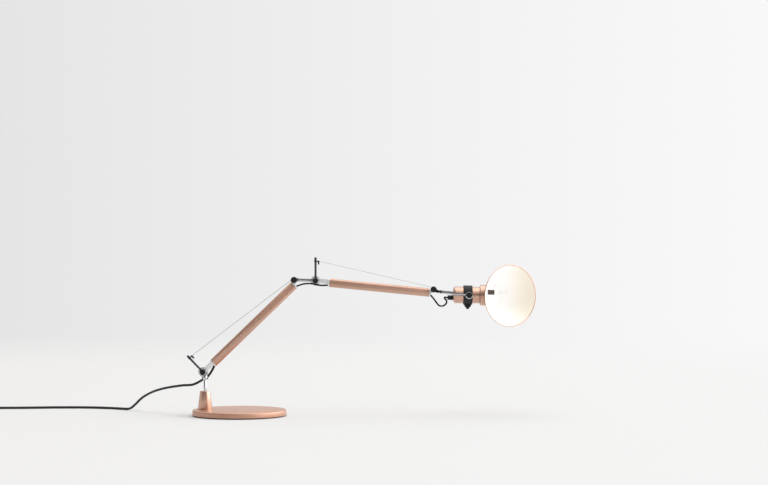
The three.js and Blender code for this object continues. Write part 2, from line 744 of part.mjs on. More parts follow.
function buildFork() {
  const slope = forkSlope + Math.asin(forkDrop / forkReach);
  const frame = frameAt(wrist, slope);
  const tiltX = Math.sqrt(forkReach ** 2 - forkDrop ** 2);
  const neck = rod('x', neckRadius, bridgeEnd - fit, swivelNutEnd - fit);
  const nut = rod('x', swivelNutRadius, swivelNutStart, swivelNutEnd, 6);
  piece(frame, 'wrist_clevis', 'blackened', cut(
    joined(
      clevis(bridgeEnd, forkDrop, yokeTall), placed(neck, 0, 0, -forkDrop), placed(nut, 0, 0, -forkDrop),
    ),
    rod('y', boltRadius + fit, -tubeDeep, tubeDeep),
  ));

  const outer = tineInner + tineThick;
  const front = tiltX + eyeRadius + overrun;
  const inside = yokeBack + yokeBar;
  const innerCorner = yokeCorner - tineThick;
  const plan = new THREE.Shape();
  plan.moveTo(front, -outer);
  plan.lineTo(front, -tineInner);
  plan.lineTo(inside + innerCorner, -tineInner);
  plan.absarc(inside + innerCorner, -tineInner + innerCorner, innerCorner, -Math.PI / 2, Math.PI, true);
  plan.lineTo(inside, tineInner - innerCorner);
  plan.absarc(inside + innerCorner, tineInner - innerCorner, innerCorner, Math.PI, Math.PI / 2, true);
  plan.lineTo(front, tineInner);
  plan.lineTo(front, outer);
  plan.absarc(yokeBack + yokeCorner, outer - yokeCorner, yokeCorner, Math.PI / 2, Math.PI);
  plan.absarc(yokeBack + yokeCorner, -outer + yokeCorner, yokeCorner, Math.PI, Math.PI * 1.5);
  plan.closePath();
  const flat = new THREE.ExtrudeGeometry(plan, {
    depth: 2 * eyeRadius, bevelEnabled: false, curveSegments: 6,
  });
  flat.translate(0, 0, -eyeRadius - forkDrop);

  const side = new THREE.Shape();
  side.moveTo(yokeBack - overrun, -yokeTall / 2);
  side.lineTo(inside, -yokeTall / 2);
  side.lineTo(tiltX, -tineTall / 2);
  side.lineTo(tiltX, tineTall / 2);
  side.lineTo(inside, yokeTall / 2);
  side.lineTo(yokeBack - overrun, yokeTall / 2);
  side.closePath();
  const reach = outer + overrun;
  const profile = joined(plate(side, -reach, reach), placed(rod('y', eyeRadius, -reach, reach), tiltX, 0, 0));
  piece(frame, 'wrist_yoke', 'polished', cut(
    common(flat, placed(profile, 0, 0, -forkDrop)),
    placed(rod('y', boltRadius + fit, -reach, reach), tiltX, 0, -forkDrop),
  ));

  for (const [name, turn] of [['tilt_knob_front', Math.PI], ['tilt_knob_rear', 0]]) {
    const start = outer + fit;
    const tip = bossHoleEnd + fit;
    const knob = turned('y', [
      [0, tip], [boltRadius, tip], [boltRadius, start], [tiltKnobRadius, start],
      [tiltKnobRadius, start + knobThick - knobEdge], [tiltKnobRadius - knobEdge, start + knobThick],
      [0, start + knobThick],
    ]).rotateX(turn);
    piece(frame, name, 'black', placed(knob, tiltX, 0, -forkDrop));
  }
  return frame;
}

// Head: ring with a switch tongue, rear housing with its gland, and the turning front with the shade
function buildHead() {
  const frame = frameAt(tilt, headSlope);

  const sleeve = rod('x', ringRadius, ringBack, ringFront, shadeSides);
  const tipZ = tongueEnd + tongueTipRadius;
  const middle = (ringBack + ringFront) / 2;
  const tongue = new THREE.Shape();
  tongue.moveTo(ringFront, tongueTop);
  tongue.lineTo(ringBack, tongueTop);
  tongue.lineTo(middle - tongueTipRadius, tipZ);
  tongue.absarc(middle, tipZ, tongueTipRadius, Math.PI, Math.PI * 2);
  tongue.closePath();
  const boss = rod('y', bossRadius, -bossFace, bossFace);
  const buttonHole = rod('z', buttonRadius + fit, tongueEnd - overrun, tongueEnd + buttonDepth);
  const wellHalf = bossFace + overrun;
  piece(frame, 'head_ring', 'black', cut(
    joined(sleeve, plate(tongue, -tongueHalf, tongueHalf), boss),
    rod('x', ringBore, ringBack - overrun, ringFront + overrun, shadeSides),
    placed(rod('y', boltRadius + fit, bossHoleEnd, wellHalf), 0, 0, 0),
    placed(rod('y', boltRadius + fit, -wellHalf, -bossHoleEnd), 0, 0, 0),
    placed(buttonHole, middle, 0, 0),
  ));
  const buttonTop = tongueEnd + buttonDepth - buttonStand - fit;
  const buttonFoot = tongueEnd - buttonStand;
  piece(frame, 'switch_button', 'black', placed(turned('z', [
    [0, buttonTop], [buttonRadius, buttonTop], [buttonRadius, buttonFoot + knobEdge],
    [buttonRadius - knobEdge, buttonFoot], [0, buttonFoot],
  ]), middle, 0, 0));

  const rearEnd = housingMeet - fit / 2;
  const rearInner = rearRadius - housingWall;
  const back = [];
  const backSteps = 4;
  for (let i = 0; i <= backSteps; i += 1) {
    const angle = (i / backSteps) * (Math.PI / 2);
    back.push([
      rearRadius - rearEdge * (1 - Math.sin(angle)), rearBack + rearEdge * (1 - Math.cos(angle)),
    ]);
  }
  piece(frame, 'rear_housing', 'copper', cut(
    turned('x', [
      [0, rearBack], ...back, [rearRadius, rearEnd], [rearInner, rearEnd], [rearInner, rearBack + rearEdge],
      [rearInner - rearEdge / 2, rearBack + housingWall], [0, rearBack + housingWall],
    ], shadeSides),
    placed(rod('x', glandNeckRadius + fit, rearBack - overrun, rearBack + overrun), 0, 0, -glandDrop),
  ));

  const glandFace = rearBack - fit;
  const glandBore = leadRadius + fit;
  piece(frame, 'cord_gland', 'black', placed(turned('x', [
    [glandBore, glandFace - glandLength], [glandRadius, glandFace - glandLength], [glandRadius, glandFace],
    [glandNeckRadius, glandFace], [glandNeckRadius, glandFace + glandNeckLength],
    [glandBore, glandFace + glandNeckLength], [glandBore, glandFace - glandLength],
  ]), 0, 0, -glandDrop));

  const frontStart = housingMeet + fit / 2;
  const frontInner = frontRadius - housingWall;
  const holderHole = (radius, from, to) => placed(rod('x', radius, from, to), 0, 0, holderRise);
  piece(frame, 'front_housing', 'copper', cut(
    turned('x', [
      [frontInner, frontStart], [frontRadius, frontStart], [frontRadius, frontEnd], [0, frontEnd],
      [0, frontEnd - frontWall], [frontInner, frontEnd - frontWall], [frontInner, frontStart],
    ], shadeSides),
    holderHole(holderRadius + fit, 0, frontEnd + overrun),
  ));

  // Shade
  const halfAngle = Math.atan((mouthRadius - crownRadius) / shadeDepth);
  const facing = Math.PI / 2 - halfAngle;
  const mouth = new THREE.Vector3(
    shadeStandoff + mouthRadius * Math.cos(halfAngle), mouthRadius * Math.sin(halfAngle) - shadeForward, 0,
  );
  const wallAcross = shadeWall / Math.cos(halfAngle);
  const domeSteps = 4;
  const dome = (radius, rise, from) => {
    const points = [];
    for (let i = 0; i <= domeSteps; i += 1) {
      const angle = (i / domeSteps) * (Math.PI / 2);
      points.push([radius * Math.cos(angle), from - rise * Math.sin(angle)]);
    }
    return points;
  };
  const towardsMouth = new THREE.Vector3(Math.cos(facing), -Math.sin(facing), 0);
  const tip = new THREE.Quaternion().setFromUnitVectors(new THREE.Vector3(0, 1, 0), towardsMouth);
  const ontoHousing = (geometry) => geometry.applyQuaternion(tip).translate(mouth.x, mouth.y, mouth.z);
  const outerDome = dome(crownRadius, crownDome, -shadeDepth);
  const innerDome = dome(crownRadius - wallAcross, crownDome - fit, -shadeDepth + shadeWall);
  const lipInner = mouthRadius - lipThick;
  const shell = turned('y', [
    ...innerDome.reverse(), [lipInner - lipWidth * Math.tan(halfAngle), -lipWidth], [lipInner, 0],
    [mouthRadius, 0], ...outerDome,
  ], shadeSides);
  piece(frame, 'shade', 'shade', cut(
    ontoHousing(shell),
    holderHole(holderRadius + fit, 0, shadeStandoff + mouthRadius),
  ));

  const slack = fit / Math.cos(halfAngle);
  const body = ontoHousing(turned('y', [
    [0, overrun], [mouthRadius + slack + overrun * Math.tan(halfAngle), overrun],
    ...dome(crownRadius + slack, crownDome + fit, -shadeDepth),
  ], shadeSides));
  const grooveEnd = collarGrooveStart + collarGrooveWidth;
  const collarStart = frontEnd + fit;
  piece(frame, 'shade_collar', 'copper', cut(
    turned('x', [
      [collarBore, collarStart], [collarOuter, collarStart], [collarOuter, collarGrooveStart],
      [collarOuter - collarGrooveDepth, collarGrooveStart], [collarOuter - collarGrooveDepth, grooveEnd],
      [collarOuter, grooveEnd], [collarOuter, collarReach], [collarBore, collarReach],
      [collarBore, collarStart],
    ], shadeSides),
    body,
  ));

  piece(frame, 'lampholder', 'ceramic', placed(turned('x', [
    [0, holderStart - holderFlangeThick], [holderFlangeRadius, holderStart - holderFlangeThick],
    [holderFlangeRadius, holderStart], [holderRadius, holderStart], [holderRadius, holderEnd],
    [socketBore, holderEnd], [socketBore, holderEnd - socketHole], [0, holderEnd - socketHole],
  ]), 0, 0, holderRise));
  const glassStart = holderEnd + fit;
  const glassEnd = glassStart + bulbLength;
  piece(frame, 'bulb', 'glass', placed(turned('x', [
    [0, glassStart - bulbNeck], [bulbNeckRadius, glassStart - bulbNeck], [bulbNeckRadius, glassStart],
    [bulbRadius, glassStart], [bulbRadius, glassEnd - bulbRadius],
    ...bulbTipShares.map(([across, back]) => [bulbRadius * across, glassEnd - bulbRadius * back]),
    [0, glassEnd],
  ]), 0, 0, holderRise));
  return frame;
}

const rodFoot = buildBase();
buildPost(rodFoot);
const lowerCableStart = buildLever('shoulder', shoulder, shoulderLeverSlope, shoulderLeverReach);
buildElbowLink();
const upperCableStart = buildLever('elbow', upperElbow, elbowLeverSlope, elbowLeverReach);

const lower = buildArm('lower', shoulder, lowerReach, lowerSlope, {
  near: { knob: 'shoulder_knob', bolt: 'shoulder_bolt', disc: 'shoulder_disc' },
  far: { knob: 'lower_elbow_knob', bolt: 'lower_elbow_bolt' },
}, { near: shoulderKnobRadius, far: lowerElbowKnobRadius }, lowerCableStart);
const upper = buildArm('upper', upperElbow, upperReach, upperSlope, {
  near: { knob: 'upper_elbow_knob', bolt: 'upper_elbow_bolt', disc: 'elbow_disc' },
  far: { knob: 'wrist_knob', bolt: 'wrist_bolt' },
}, { near: upperElbowKnobRadius, far: wristKnobRadius }, upperCableStart);
buildFork();
const head = buildHead();

// Cords. The mains cord comes up from the surface, through a clip behind the post and into the lower arm;
// thinner leads go on through both tubes, under the elbow and in a loop under the wrist. A cord's points
// are chosen from the pivot that they stay beside.
const clipDepth = socketRadius + fit + clipWall + fit + mainsRadius;
const clipCentre = new THREE.Vector3(swivelX, clipDepth, (clipLow + clipHigh) / 2);
const clipHeading = new THREE.Vector3(-0.832, 0, -0.555);

function buildClip() {
  const discBehind = hubHalf + fit + cheekThick + fit + discThick;
  const ring = turned('z', [
    [socketRadius + fit, clipLow], [socketRadius + fit + clipWall, clipLow],
    [socketRadius + fit + clipWall, clipHigh], [socketRadius + fit, clipHigh], [socketRadius + fit, clipLow],
  ]);
  const half = box(-discRadius, discRadius, 0, discRadius, clipLow - overrun, clipHigh + overrun);
  const quarter = common(ring, half);
  const eyelet = rod('x', mainsRadius + fit + clipThick, -eyeletLength / 2, eyeletLength / 2);
  const bore = rod('x', mainsRadius + fit, -eyeletLength, eyeletLength);
  const lean = Math.atan2(clipHeading.z, -clipHeading.x);
  const turnedTo = (geometry) => geometry.rotateY(lean).translate(clipCentre.x, clipCentre.y, clipCentre.z);
  const post = placed(rod('z', socketRadius + fit, clipLow - overrun, clipHigh + overrun), swivelX, 0, 0);
  piece(lamp, 'cord_clip', 'black', cut(
    joined(placed(quarter, swivelX, 0, 0), turnedTo(eyelet)),
    turnedTo(bore),
    post,
    placed(rod('y', discRadius + fit, hubHalf, discBehind + fit, shadeSides), shoulderX, 0, shoulderZ),
  ));
}
buildClip();

function inArm(arm, along, below, depth = 0) {
  return arm.frame.localToWorld(new THREE.Vector3(along, depth, arm.axis - below));
}

function inHead(along, above) {
  return head.localToWorld(new THREE.Vector3(along, 0, above));
}

function beside(place, x, y, z) {
  return new THREE.Vector3(place.x + x, y, place.z + z);
}

const clipGap = clipHeading.clone().multiplyScalar(fit / 2);
const shoulderRoute = [
  inArm(lower, lower.insertEnd, mainsDrop), inArm(lower, 29, mainsDrop), inArm(lower, 23.5, 4.8),
  inArm(lower, 17, 6.8, 0.4), inArm(lower, 11, 8.6, 2.2), inArm(lower, 5, 9.9, 4.8),
  inArm(lower, 0.5, 10.2, 6.9),
  clipCentre.clone().addScaledVector(clipHeading, -eyeletLength * leadInShare),
  clipCentre.clone().sub(clipGap),
];
piece(lamp, 'shoulder_cord', 'cord', tubeAlong(smooth(shoulderRoute, 24), mainsRadius, cordSides));

const underElbow = beside(upperElbow, -11.62, 0, -5.3);
const lowerLead = [
  inArm(lower, lower.insertEnd + fit, leadDrop), inArm(lower, lower.tubeEnd - insertLength, leadDrop),
  ...smooth([
    inArm(lower, lower.tubeEnd, leadDrop), inArm(lower, lower.farFlangeEnd, leadDrop),
    beside(lowerElbow, 6.15, 0, -10.88), beside(lowerElbow, 10.65, 0, -9.08),
    beside(lowerElbow, 18.65, 0, -7.08), underElbow,
  ], 10),
];
piece(lamp, 'elbow_cord_lower', 'cord', tubeAlong(lowerLead, leadRadius, cordSides));

const upperLead = [
  ...smooth([
    beside(underElbow, fit, 0, 0), beside(upperElbow, -6.12, 0, -5.7), beside(upperElbow, -0.62, 0, -7.1),
    beside(upperElbow, 8.38, 0, -8.5), beside(upperElbow, 16.38, 0, -8.6),
    inArm(upper, upper.flangeStart, leadDrop), inArm(upper, upper.insertEnd, leadDrop),
  ], 14),
  inArm(upper, upper.tubeEnd - insertLength - fit, leadDrop),
];
piece(lamp, 'elbow_cord_upper', 'cord', tubeAlong(upperLead, leadRadius, cordSides));

const loopFoot = beside(wrist, 14.45, 0, -30.22);
const wristRoute = [
  inArm(upper, upper.tubeEnd - insertLength, leadDrop), inArm(upper, upper.farFlangeEnd, leadDrop),
  beside(wrist, -4.15, 0, -11.92), beside(wrist, -0.15, 0, -16.62), beside(wrist, 4.55, 0, -23.02),
  beside(wrist, 9.05, 0, -28.62), beside(wrist, 12.25, 0, -30.22),
];
piece(lamp, 'wrist_cord', 'cord', tubeAlong([...smooth(wristRoute, 20), loopFoot], leadRadius, cordSides));

const glandMouth = rearBack - fit - glandLength;
const headRoute = [
  beside(wrist, 16.75, 0, -30.22), beside(wrist, 20.85, 0, -28.02), beside(wrist, 23.45, 0, -24.22),
  beside(wrist, 23.45, 0, -20.22), beside(tilt, -43.3, 0, -6.78), beside(tilt, -44, 0, -4.18),
  inHead(glandMouth - fit, -glandDrop), inHead(rearBack, -glandDrop),
];
const headStart = beside(loopFoot, fit, 0, 0);
piece(lamp, 'head_cord', 'cord', tubeAlong([headStart, ...smooth(headRoute, 22)], leadRadius, cordSides));

// Free mains cord: from the clip down to the surface, along it, and into a flat coil of two layers
const onFloor = mainsRadius + floorLift;
const coilOuter = coilInner + (coilTurnsShare / 2) * coilPitch;
const swivel = new THREE.Vector3(swivelX, 0, 0);
const mainsRoute = [
  clipCentre.clone().add(clipGap), clipCentre.clone().addScaledVector(clipHeading, eyeletLength),
  beside(swivel, -15.2, 10, 58.9), beside(swivel, -24.4, 14, 55.2), beside(swivel, -42, 24, 53.4),
  beside(swivel, -62.8, 39, 49.8), beside(swivel, -84, 57, 44.7), beside(swivel, -105.5, 77, 36.8),
  beside(swivel, -126.2, 99, 24.5), beside(swivel, -140.7, 112, 11), beside(swivel, -150.7, 119.5, 3.6),
  beside(swivel, -166.7, 131, onFloor), beside(swivel, -187.7, 144, onFloor),
  beside(swivel, -215.7, 155, onFloor), beside(swivel, -252.7, 161, onFloor),
  beside(swivel, -297.7, 160, onFloor), beside(swivel, -347.7, 153, onFloor),
  beside(swivel, -392.7, coilY + coilOuter, onFloor), beside(swivel, -427.7, coilY + coilOuter, onFloor),
];
const mainsPoints = smooth(mainsRoute, 50);
piece(lamp, 'mains_cord', 'cord', tubeAlong(mainsPoints, mainsRadius, cordSides));

function coilPoints() {
  const joint = mainsRoute[mainsRoute.length - 1];
  const points = [
    new THREE.Vector3(joint.x - fit, joint.y, joint.z),
    new THREE.Vector3(joint.x - fit - 2 * mainsRadius, joint.y, joint.z),
  ];
  const steps = Math.round(coilTurnsShare * coilSteps);
  const reversal = coilTurnsShare / 2;
  for (let i = 0; i <= steps; i += 1) {
    const turn = (i / steps) * coilTurnsShare;
    const angle = Math.PI / 2 + turn * Math.PI * 2;
    const radius = coilInner + Math.abs(turn - reversal) * coilPitch;
    const climb = THREE.MathUtils.clamp((turn - reversal) * 2 + 0.5, 0, 1);
    points.push(new THREE.Vector3(
      swivelX - coilSetback + radius * Math.cos(angle), coilY + radius * Math.sin(angle),
      onFloor + climb * coilPitch,
    ));
  }
  const last = points[points.length - 1];
  const plugAxis = plugHalfTall + floorLift;
  points.push(new THREE.Vector3(last.x, last.y - coilTail / 2, plugAxis));
  points.push(new THREE.Vector3(last.x, last.y - coilTail, plugAxis));
  return points;
}

// The least gap between two turns of the coil, measured on points a third of a turn or more apart
function leastGap(points, radius) {
  let least = Infinity;
  for (let i = 0; i < points.length; i += 1) {
    for (let j = i + Math.round(coilSteps / 3); j < points.length; j += 1) {
      least = Math.min(least, points[i].distanceTo(points[j]) - 2 * radius);
    }
  }
  return least;
}

const coil = coilPoints();
piece(lamp, 'mains_cord_coil', 'cord', tubeAlong(coil, mainsRadius, coilSides));

function buildPlug(end) {
  const relief = plugReliefLength;
  const body = new THREE.Shape();
  const mid = plugHalfTall;
  body.moveTo(-mid, 0);
  body.lineTo(mid, 0);
  body.lineTo(plugHalfWide, plugLength * plugShoulderShare);
  body.lineTo(plugHalfWide - plugEdge, plugLength);
  body.lineTo(plugEdge - plugHalfWide, plugLength);
  body.lineTo(-plugHalfWide, plugLength * plugShoulderShare);
  body.closePath();
  const solidBody = new THREE.ExtrudeGeometry(body, { depth: 2 * plugHalfTall, bevelEnabled: false });
  solidBody.translate(0, relief, -plugHalfTall);
  const neck = turned('y', [
    [0, 0], [mainsRadius + fit, 0], [plugReliefRadius, relief + fit], [0, relief + fit],
  ]);
  const pins = [-1, 1].map((side) => placed(
    rod('y', plugPinRadius, relief + plugLength - fit, relief + plugLength + plugPinLength, roundSides / 2),
    (side * plugPinSpacing) / 2, 0, 0,
  ));
  const whole = joined(solidBody, neck, ...pins).rotateZ(Math.PI);
  piece(lamp, 'mains_plug', 'black', placed(whole, end.x, end.y - fit, plugHalfTall + floorLift));
}
buildPlug(coil[coil.length - 1]);

const cordLength = (lengthOf(mainsPoints) + lengthOf(coil)).toFixed(0);
const coilGap = leastGap(coil, mainsRadius).toFixed(2);
console.log(`mains cord ${cordLength} mm, least coil gap ${coilGap} mm`);

export default lamp;
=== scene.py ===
"""A desk lamp with two balanced arms, as fine surfaces round its plain working model.

Sizes are written in millimetres and turned into metres where a piece is made. +Z is up, the arms lie in
the XZ plane and +Y points away from the camera."""
import math

import bpy
from mathutils import Matrix, Vector


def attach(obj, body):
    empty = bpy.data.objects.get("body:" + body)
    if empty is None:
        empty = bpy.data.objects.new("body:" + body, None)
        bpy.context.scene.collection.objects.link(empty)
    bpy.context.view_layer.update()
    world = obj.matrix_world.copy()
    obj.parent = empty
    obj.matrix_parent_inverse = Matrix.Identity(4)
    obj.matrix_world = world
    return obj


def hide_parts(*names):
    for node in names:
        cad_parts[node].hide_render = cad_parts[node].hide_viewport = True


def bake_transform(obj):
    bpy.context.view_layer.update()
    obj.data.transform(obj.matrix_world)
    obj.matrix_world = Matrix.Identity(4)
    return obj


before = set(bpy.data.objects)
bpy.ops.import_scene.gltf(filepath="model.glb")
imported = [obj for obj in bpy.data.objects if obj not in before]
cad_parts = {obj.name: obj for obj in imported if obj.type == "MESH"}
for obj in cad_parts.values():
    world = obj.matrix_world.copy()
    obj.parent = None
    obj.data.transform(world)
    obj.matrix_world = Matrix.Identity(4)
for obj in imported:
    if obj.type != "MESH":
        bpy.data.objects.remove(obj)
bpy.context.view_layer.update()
bpy.ops.object.select_all(action="DESELECT")

# The room: a pale floor that fades into pale air, so that it shows no edge, and soft daylight from above
# and from a window on the right. The air is darker in front, behind and at the upper left.
MM = 0.001
FLOOR_LEFT = (0.645, 0.638, 0.632, 1)
FLOOR_RIGHT = (0.68, 0.678, 0.675, 1)
FLOOR_CHANGE = (-1.0, 1.1)
FLOOR_FADE = (1.3, 3.6)
FLOOR_REACH = 12
FLOOR_DROP = 0.1
WALL = 0.72
WALL_GAIN = 0.25
ROOM = 0.92
ROOM_GAIN = 0.15
WINDOW = 2.8
SKYLIGHT = 1.15
DARK_FRONT = 0.7
DARK_LEFT = 0.75
DARK_BACK = 0.25
CAMERA_AT = (0.2615, -3.71, 0.3135)
LENS = 96.1
SENSOR = 36


class Wire:
    """A socket in a tree of nodes. Sums of wires and numbers add Math nodes."""

    def __init__(self, tree, socket=None):
        self.tree = tree
        self.socket = socket

    def node(self, kind, settings=None, sockets=None, output=0):
        made = self.tree.nodes.new("ShaderNode" + kind)
        for name, value in (settings or {}).items():
            setattr(made, name, value)
        for name, value in (sockets or {}).items():
            if isinstance(value, Wire):
                self.tree.links.new(value.socket, made.inputs[name])
            else:
                made.inputs[name].default_value = value
        return Wire(self.tree, made.outputs[output] if made.outputs else None)

    def reckon(self, operation, *values):
        return self.node("Math", {"operation": operation}, dict(enumerate(values)))

    def ease(self, low, high):
        return self.node("MapRange", {"interpolation_type": "SMOOTHSTEP"},
                         {"Value": self, "From Min": low, "From Max": high})

    def part(self, letter):
        return self.node("SeparateXYZ", {}, {0: self}, output=letter)

    def between(self, first, second):
        return self.node("Mix", {"data_type": "RGBA"}, {"Factor": self, 6: first, 7: second}, output=2)

    def feed(self, shader, socket):
        self.tree.links.new(self.socket, shader.inputs[socket])

    def __add__(self, other):
        return self.reckon("ADD", self, other)

    def __sub__(self, other):
        return self.reckon("SUBTRACT", self, other)

    def __rsub__(self, other):
        return self.reckon("SUBTRACT", other, self)

    def __mul__(self, other):
        return self.reckon("MULTIPLY", self, other)

    __radd__ = __add__
    __rmul__ = __mul__


scene = bpy.context.scene
scene.view_settings.view_transform = "Standard"

bpy.ops.mesh.primitive_circle_add(vertices=96, radius=FLOOR_REACH, fill_type="NGON",
                                  location=(0, 0, -FLOOR_DROP * MM))
floor = bpy.context.object
floor.name = "floor"
floor_paint = bpy.data.materials.new("floor_paint")
floor_paint.use_nodes = True
floor_tree = floor_paint.node_tree
floor_tree.nodes.clear()
wire = Wire(floor_tree)
spot = wire.node("TexCoord", output="Object")
away = wire.node("VectorMath", {"operation": "LENGTH"}, {0: spot}, output="Value")
# The floor is painted a little lighter towards the window on the right: painted light
tone = spot.part("X").ease(*FLOOR_CHANGE).between(FLOOR_LEFT, FLOOR_RIGHT)
paint = wire.node("BsdfDiffuse", {}, {"Color": tone})
clear = wire.node("BsdfTransparent")
faded = wire.node("MixShader", {}, {0: away.ease(*FLOOR_FADE), 1: paint, 2: clear})
wire.node("OutputMaterial", {}, {"Surface": faded})
floor.data.materials.append(floor_paint)

world = bpy.data.worlds.new("daylight")
scene.world = world
world.use_nodes = True
air = Wire(world.node_tree)
heading = air.node("TexCoord", output="Generated")
east, north, upward = [heading.part(letter) for letter in "XYZ"]
# The air seen straight behind is painted lighter towards the window on the right: painted light
wall = WALL + WALL_GAIN * east.ease(-0.45, 0.35)
window = WINDOW * east.ease(0.62, 0.86)
skylight = SKYLIGHT * upward.ease(0.70, 0.94)
level = 1 - upward.reckon("ABSOLUTE", upward).ease(0.25, 0.62)
dark_front = 1 - DARK_FRONT * level * (0 - north).ease(0.1, 0.6)
dark_left = 1 - DARK_LEFT * (0.66 * upward - 0.62 * east - 0.42 * north).ease(0.78, 0.95)
dark_back = 1 - DARK_BACK * level * north.ease(0.1, 0.6)
room = (ROOM + ROOM_GAIN * east) * dark_front * dark_left * dark_back + window + skylight
seen = air.node("LightPath", output="Is Camera Ray")
(room + seen * (wall - room)).feed(world.node_tree.nodes["Background"], "Strength")
world.node_tree.nodes["Background"].inputs["Color"].default_value = (1, 1, 1, 1)

bpy.ops.object.camera_add(location=CAMERA_AT, rotation=(math.pi / 2, 0, 0))
scene.camera = bpy.context.object
scene.camera.data.lens = LENS
scene.camera.data.sensor_width = SENSOR

# Felt pad and steel weight: a disc of black wool felt is glued under a turned disc of mild steel, which
# makes the base heavy. Both sit inside the cover, so the plain pieces stay and only get their finish.
FELT_DARK = (0.010, 0.010, 0.011, 1)
FELT_LIGHT = (0.026, 0.026, 0.028, 1)
STEEL_DARK = (0.20, 0.20, 0.21, 1)
STEEL_LIGHT = (0.33, 0.33, 0.34, 1)
HERE = Matrix.Identity(4)


def grained(name, dark, light, rough, grain, relief, metallic=0.0, place=HERE, stretch=(1, 1, 1), **even):
    """A finish with slow clouds of tone, a fine grain that may run in lines, and the grain's relief."""
    made = bpy.data.materials.new(name)
    made.use_nodes = True
    shader = made.node_tree.nodes["Principled BSDF"]
    shader.inputs["Metallic"].default_value = metallic
    for socket, value in even.items():
        shader.inputs[socket.replace("_", " ")].default_value = value
    spot = Wire(made.node_tree).node("TexCoord", output="Object")
    lined = spot.node("Mapping", {"vector_type": "TEXTURE"}, {
        "Vector": spot, "Location": place.to_translation(), "Rotation": place.to_euler(), "Scale": stretch})
    cloud = spot.node("TexNoise", {}, {"Vector": spot, "Scale": 34.0, "Detail": 3.0})
    fine = spot.node("TexNoise", {}, {"Vector": lined, "Scale": grain, "Detail": 4.0, "Roughness": 0.6})
    (0.5 * cloud + 0.5 * fine).ease(0.3, 0.7).between(dark, light).feed(shader, "Base Color")
    low, high = rough
    (low + (high - low) * (0.6 * cloud + 0.4 * fine)).feed(shader, "Roughness")
    spot.node("Bump", {}, {"Strength": relief, "Distance": 0.1 * MM, "Height": fine}).feed(shader, "Normal")
    return made


def refinish(node, finish):
    """Gives a plain piece that stays its finish."""
    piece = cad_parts[node]
    piece.data.materials.clear()
    piece.data.materials.append(finish)


felt = grained("wool_felt", FELT_DARK, FELT_LIGHT, (0.92, 1.0), 900.0, 0.9)
refinish("base_felt", felt)
bare_steel = grained("bare_steel", STEEL_DARK, STEEL_LIGHT, (0.38, 0.52), 1400.0, 0.25, metallic=1.0,
                     stretch=(8, 8, 1))
refinish("base_weight", bare_steel)
refinish("cone_screw", bare_steel)

# Base cover: a dish of aluminium sheet, spun over a former with a rounded edge and anodised in satin rose
# copper. It drops over the weight and hides it down to the felt.
COPPER_DARK = (0.54, 0.300, 0.204, 1)
COPPER_LIGHT = (0.62, 0.358, 0.251, 1)
COPPER_ROUGH = (0.24, 0.34)
COPPER_BLASTED = (0.44, 0.54)
ANODISED = {"metallic": 0.9, "Coat_Weight": 0.9, "Coat_Roughness": 0.2, "Coat_IOR": 1.85}
COVER_RADIUS = 85.0
COVER_TOP = 11.5
COVER_FOOT = 1.8
COVER_WALL = 1.5
COVER_EDGE = 2.5
MERGE = 0.002
SHARP = 35


def take(piece):
    """Selects one piece alone."""
    bpy.ops.object.select_all(action="DESELECT")
    piece.select_set(True)
    bpy.context.view_layer.objects.active = piece


def open_mesh():
    """Goes into edit mode with everything selected."""
    bpy.ops.object.mode_set(mode="EDIT")
    bpy.ops.mesh.select_all(action="SELECT")


def close_mesh(outward=False, merge=False):
    """Leaves edit mode, if asked with doubles merged and with all faces turned outwards."""
    if merge or outward:
        bpy.ops.mesh.select_all(action="SELECT")
    if merge:
        bpy.ops.mesh.remove_doubles(threshold=MERGE * MM)
    if outward:
        bpy.ops.mesh.normals_make_consistent(inside=False)
    bpy.ops.object.mode_set(mode="OBJECT")


def extruded(x, y, z):
    """Draws out what is selected by millimetres."""
    bpy.ops.mesh.extrude_region_move(TRANSFORM_OT_translate={"value": (x * MM, y * MM, z * MM)})


def resized(x, y, z):
    """Resizes what is selected about the origin."""
    bpy.ops.transform.resize(value=(x, y, z), center_override=(0, 0, 0))


def turned(name, outline, sides=64, hollow=False):
    """Turns a piece about Z: a ring is extruded and resized along its outline of (radius, height)."""
    radius, height = outline[0]
    bpy.ops.mesh.primitive_circle_add(vertices=sides, radius=radius * MM, location=(0, 0, height * MM),
                                      fill_type="NOTHING" if hollow else "NGON")
    piece = bpy.context.object
    piece.name = name
    open_mesh()
    bpy.ops.mesh.select_mode(type="VERT")
    for next_radius, next_height in outline[1:] + outline[:1] * hollow:
        extruded(0, 0, next_height - height)
        growth = next_radius / radius
        resized(growth, growth, 1)
        radius, height = next_radius, next_height
    close_mesh(outward=True, merge=True)
    return piece


def quarter_round(radius, height, edge, steps=6):
    """The points of a rounded outer edge, from the side up to the top."""
    points = []
    for step in range(steps + 1):
        angle = step / steps * math.pi / 2
        points.append((radius - edge * (1 - math.cos(angle)), height - edge * (1 - math.sin(angle))))
    return points


def set_down(piece, place):
    """Sets a piece in its place for good."""
    take(piece)
    piece.matrix_world = place @ piece.matrix_world
    bpy.ops.object.transform_apply(location=True, rotation=True, scale=True)
    return piece


def mount(piece, place, body, finish, slot, *nodes, edge=0.1, segments=2):
    """Breaks a piece's sharp edges, sets it in its place, shades it smooth and gives it its finish. It
    moves with its body, in place of the plain pieces named."""
    take(piece)
    if edge:
        bevel = piece.modifiers.new("broken_edges", "BEVEL")
        bevel.width = edge * MM
        bevel.segments = segments
        bevel.limit_method = "ANGLE"
        bevel.angle_limit = math.radians(SHARP)
        bpy.ops.object.modifier_apply(modifier=bevel.name)
    set_down(piece, place)
    bpy.ops.object.shade_smooth_by_angle(angle=math.radians(SHARP))
    piece.data.materials.append(finish)
    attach(piece, body)
    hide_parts(*nodes)


def copper(name, rough, grain, relief, **more):
    """Satin rose copper: anodised aluminium under its clear sealed layer."""
    return grained(name, COPPER_DARK, COPPER_LIGHT, rough, grain, relief, **{**ANODISED, **more})


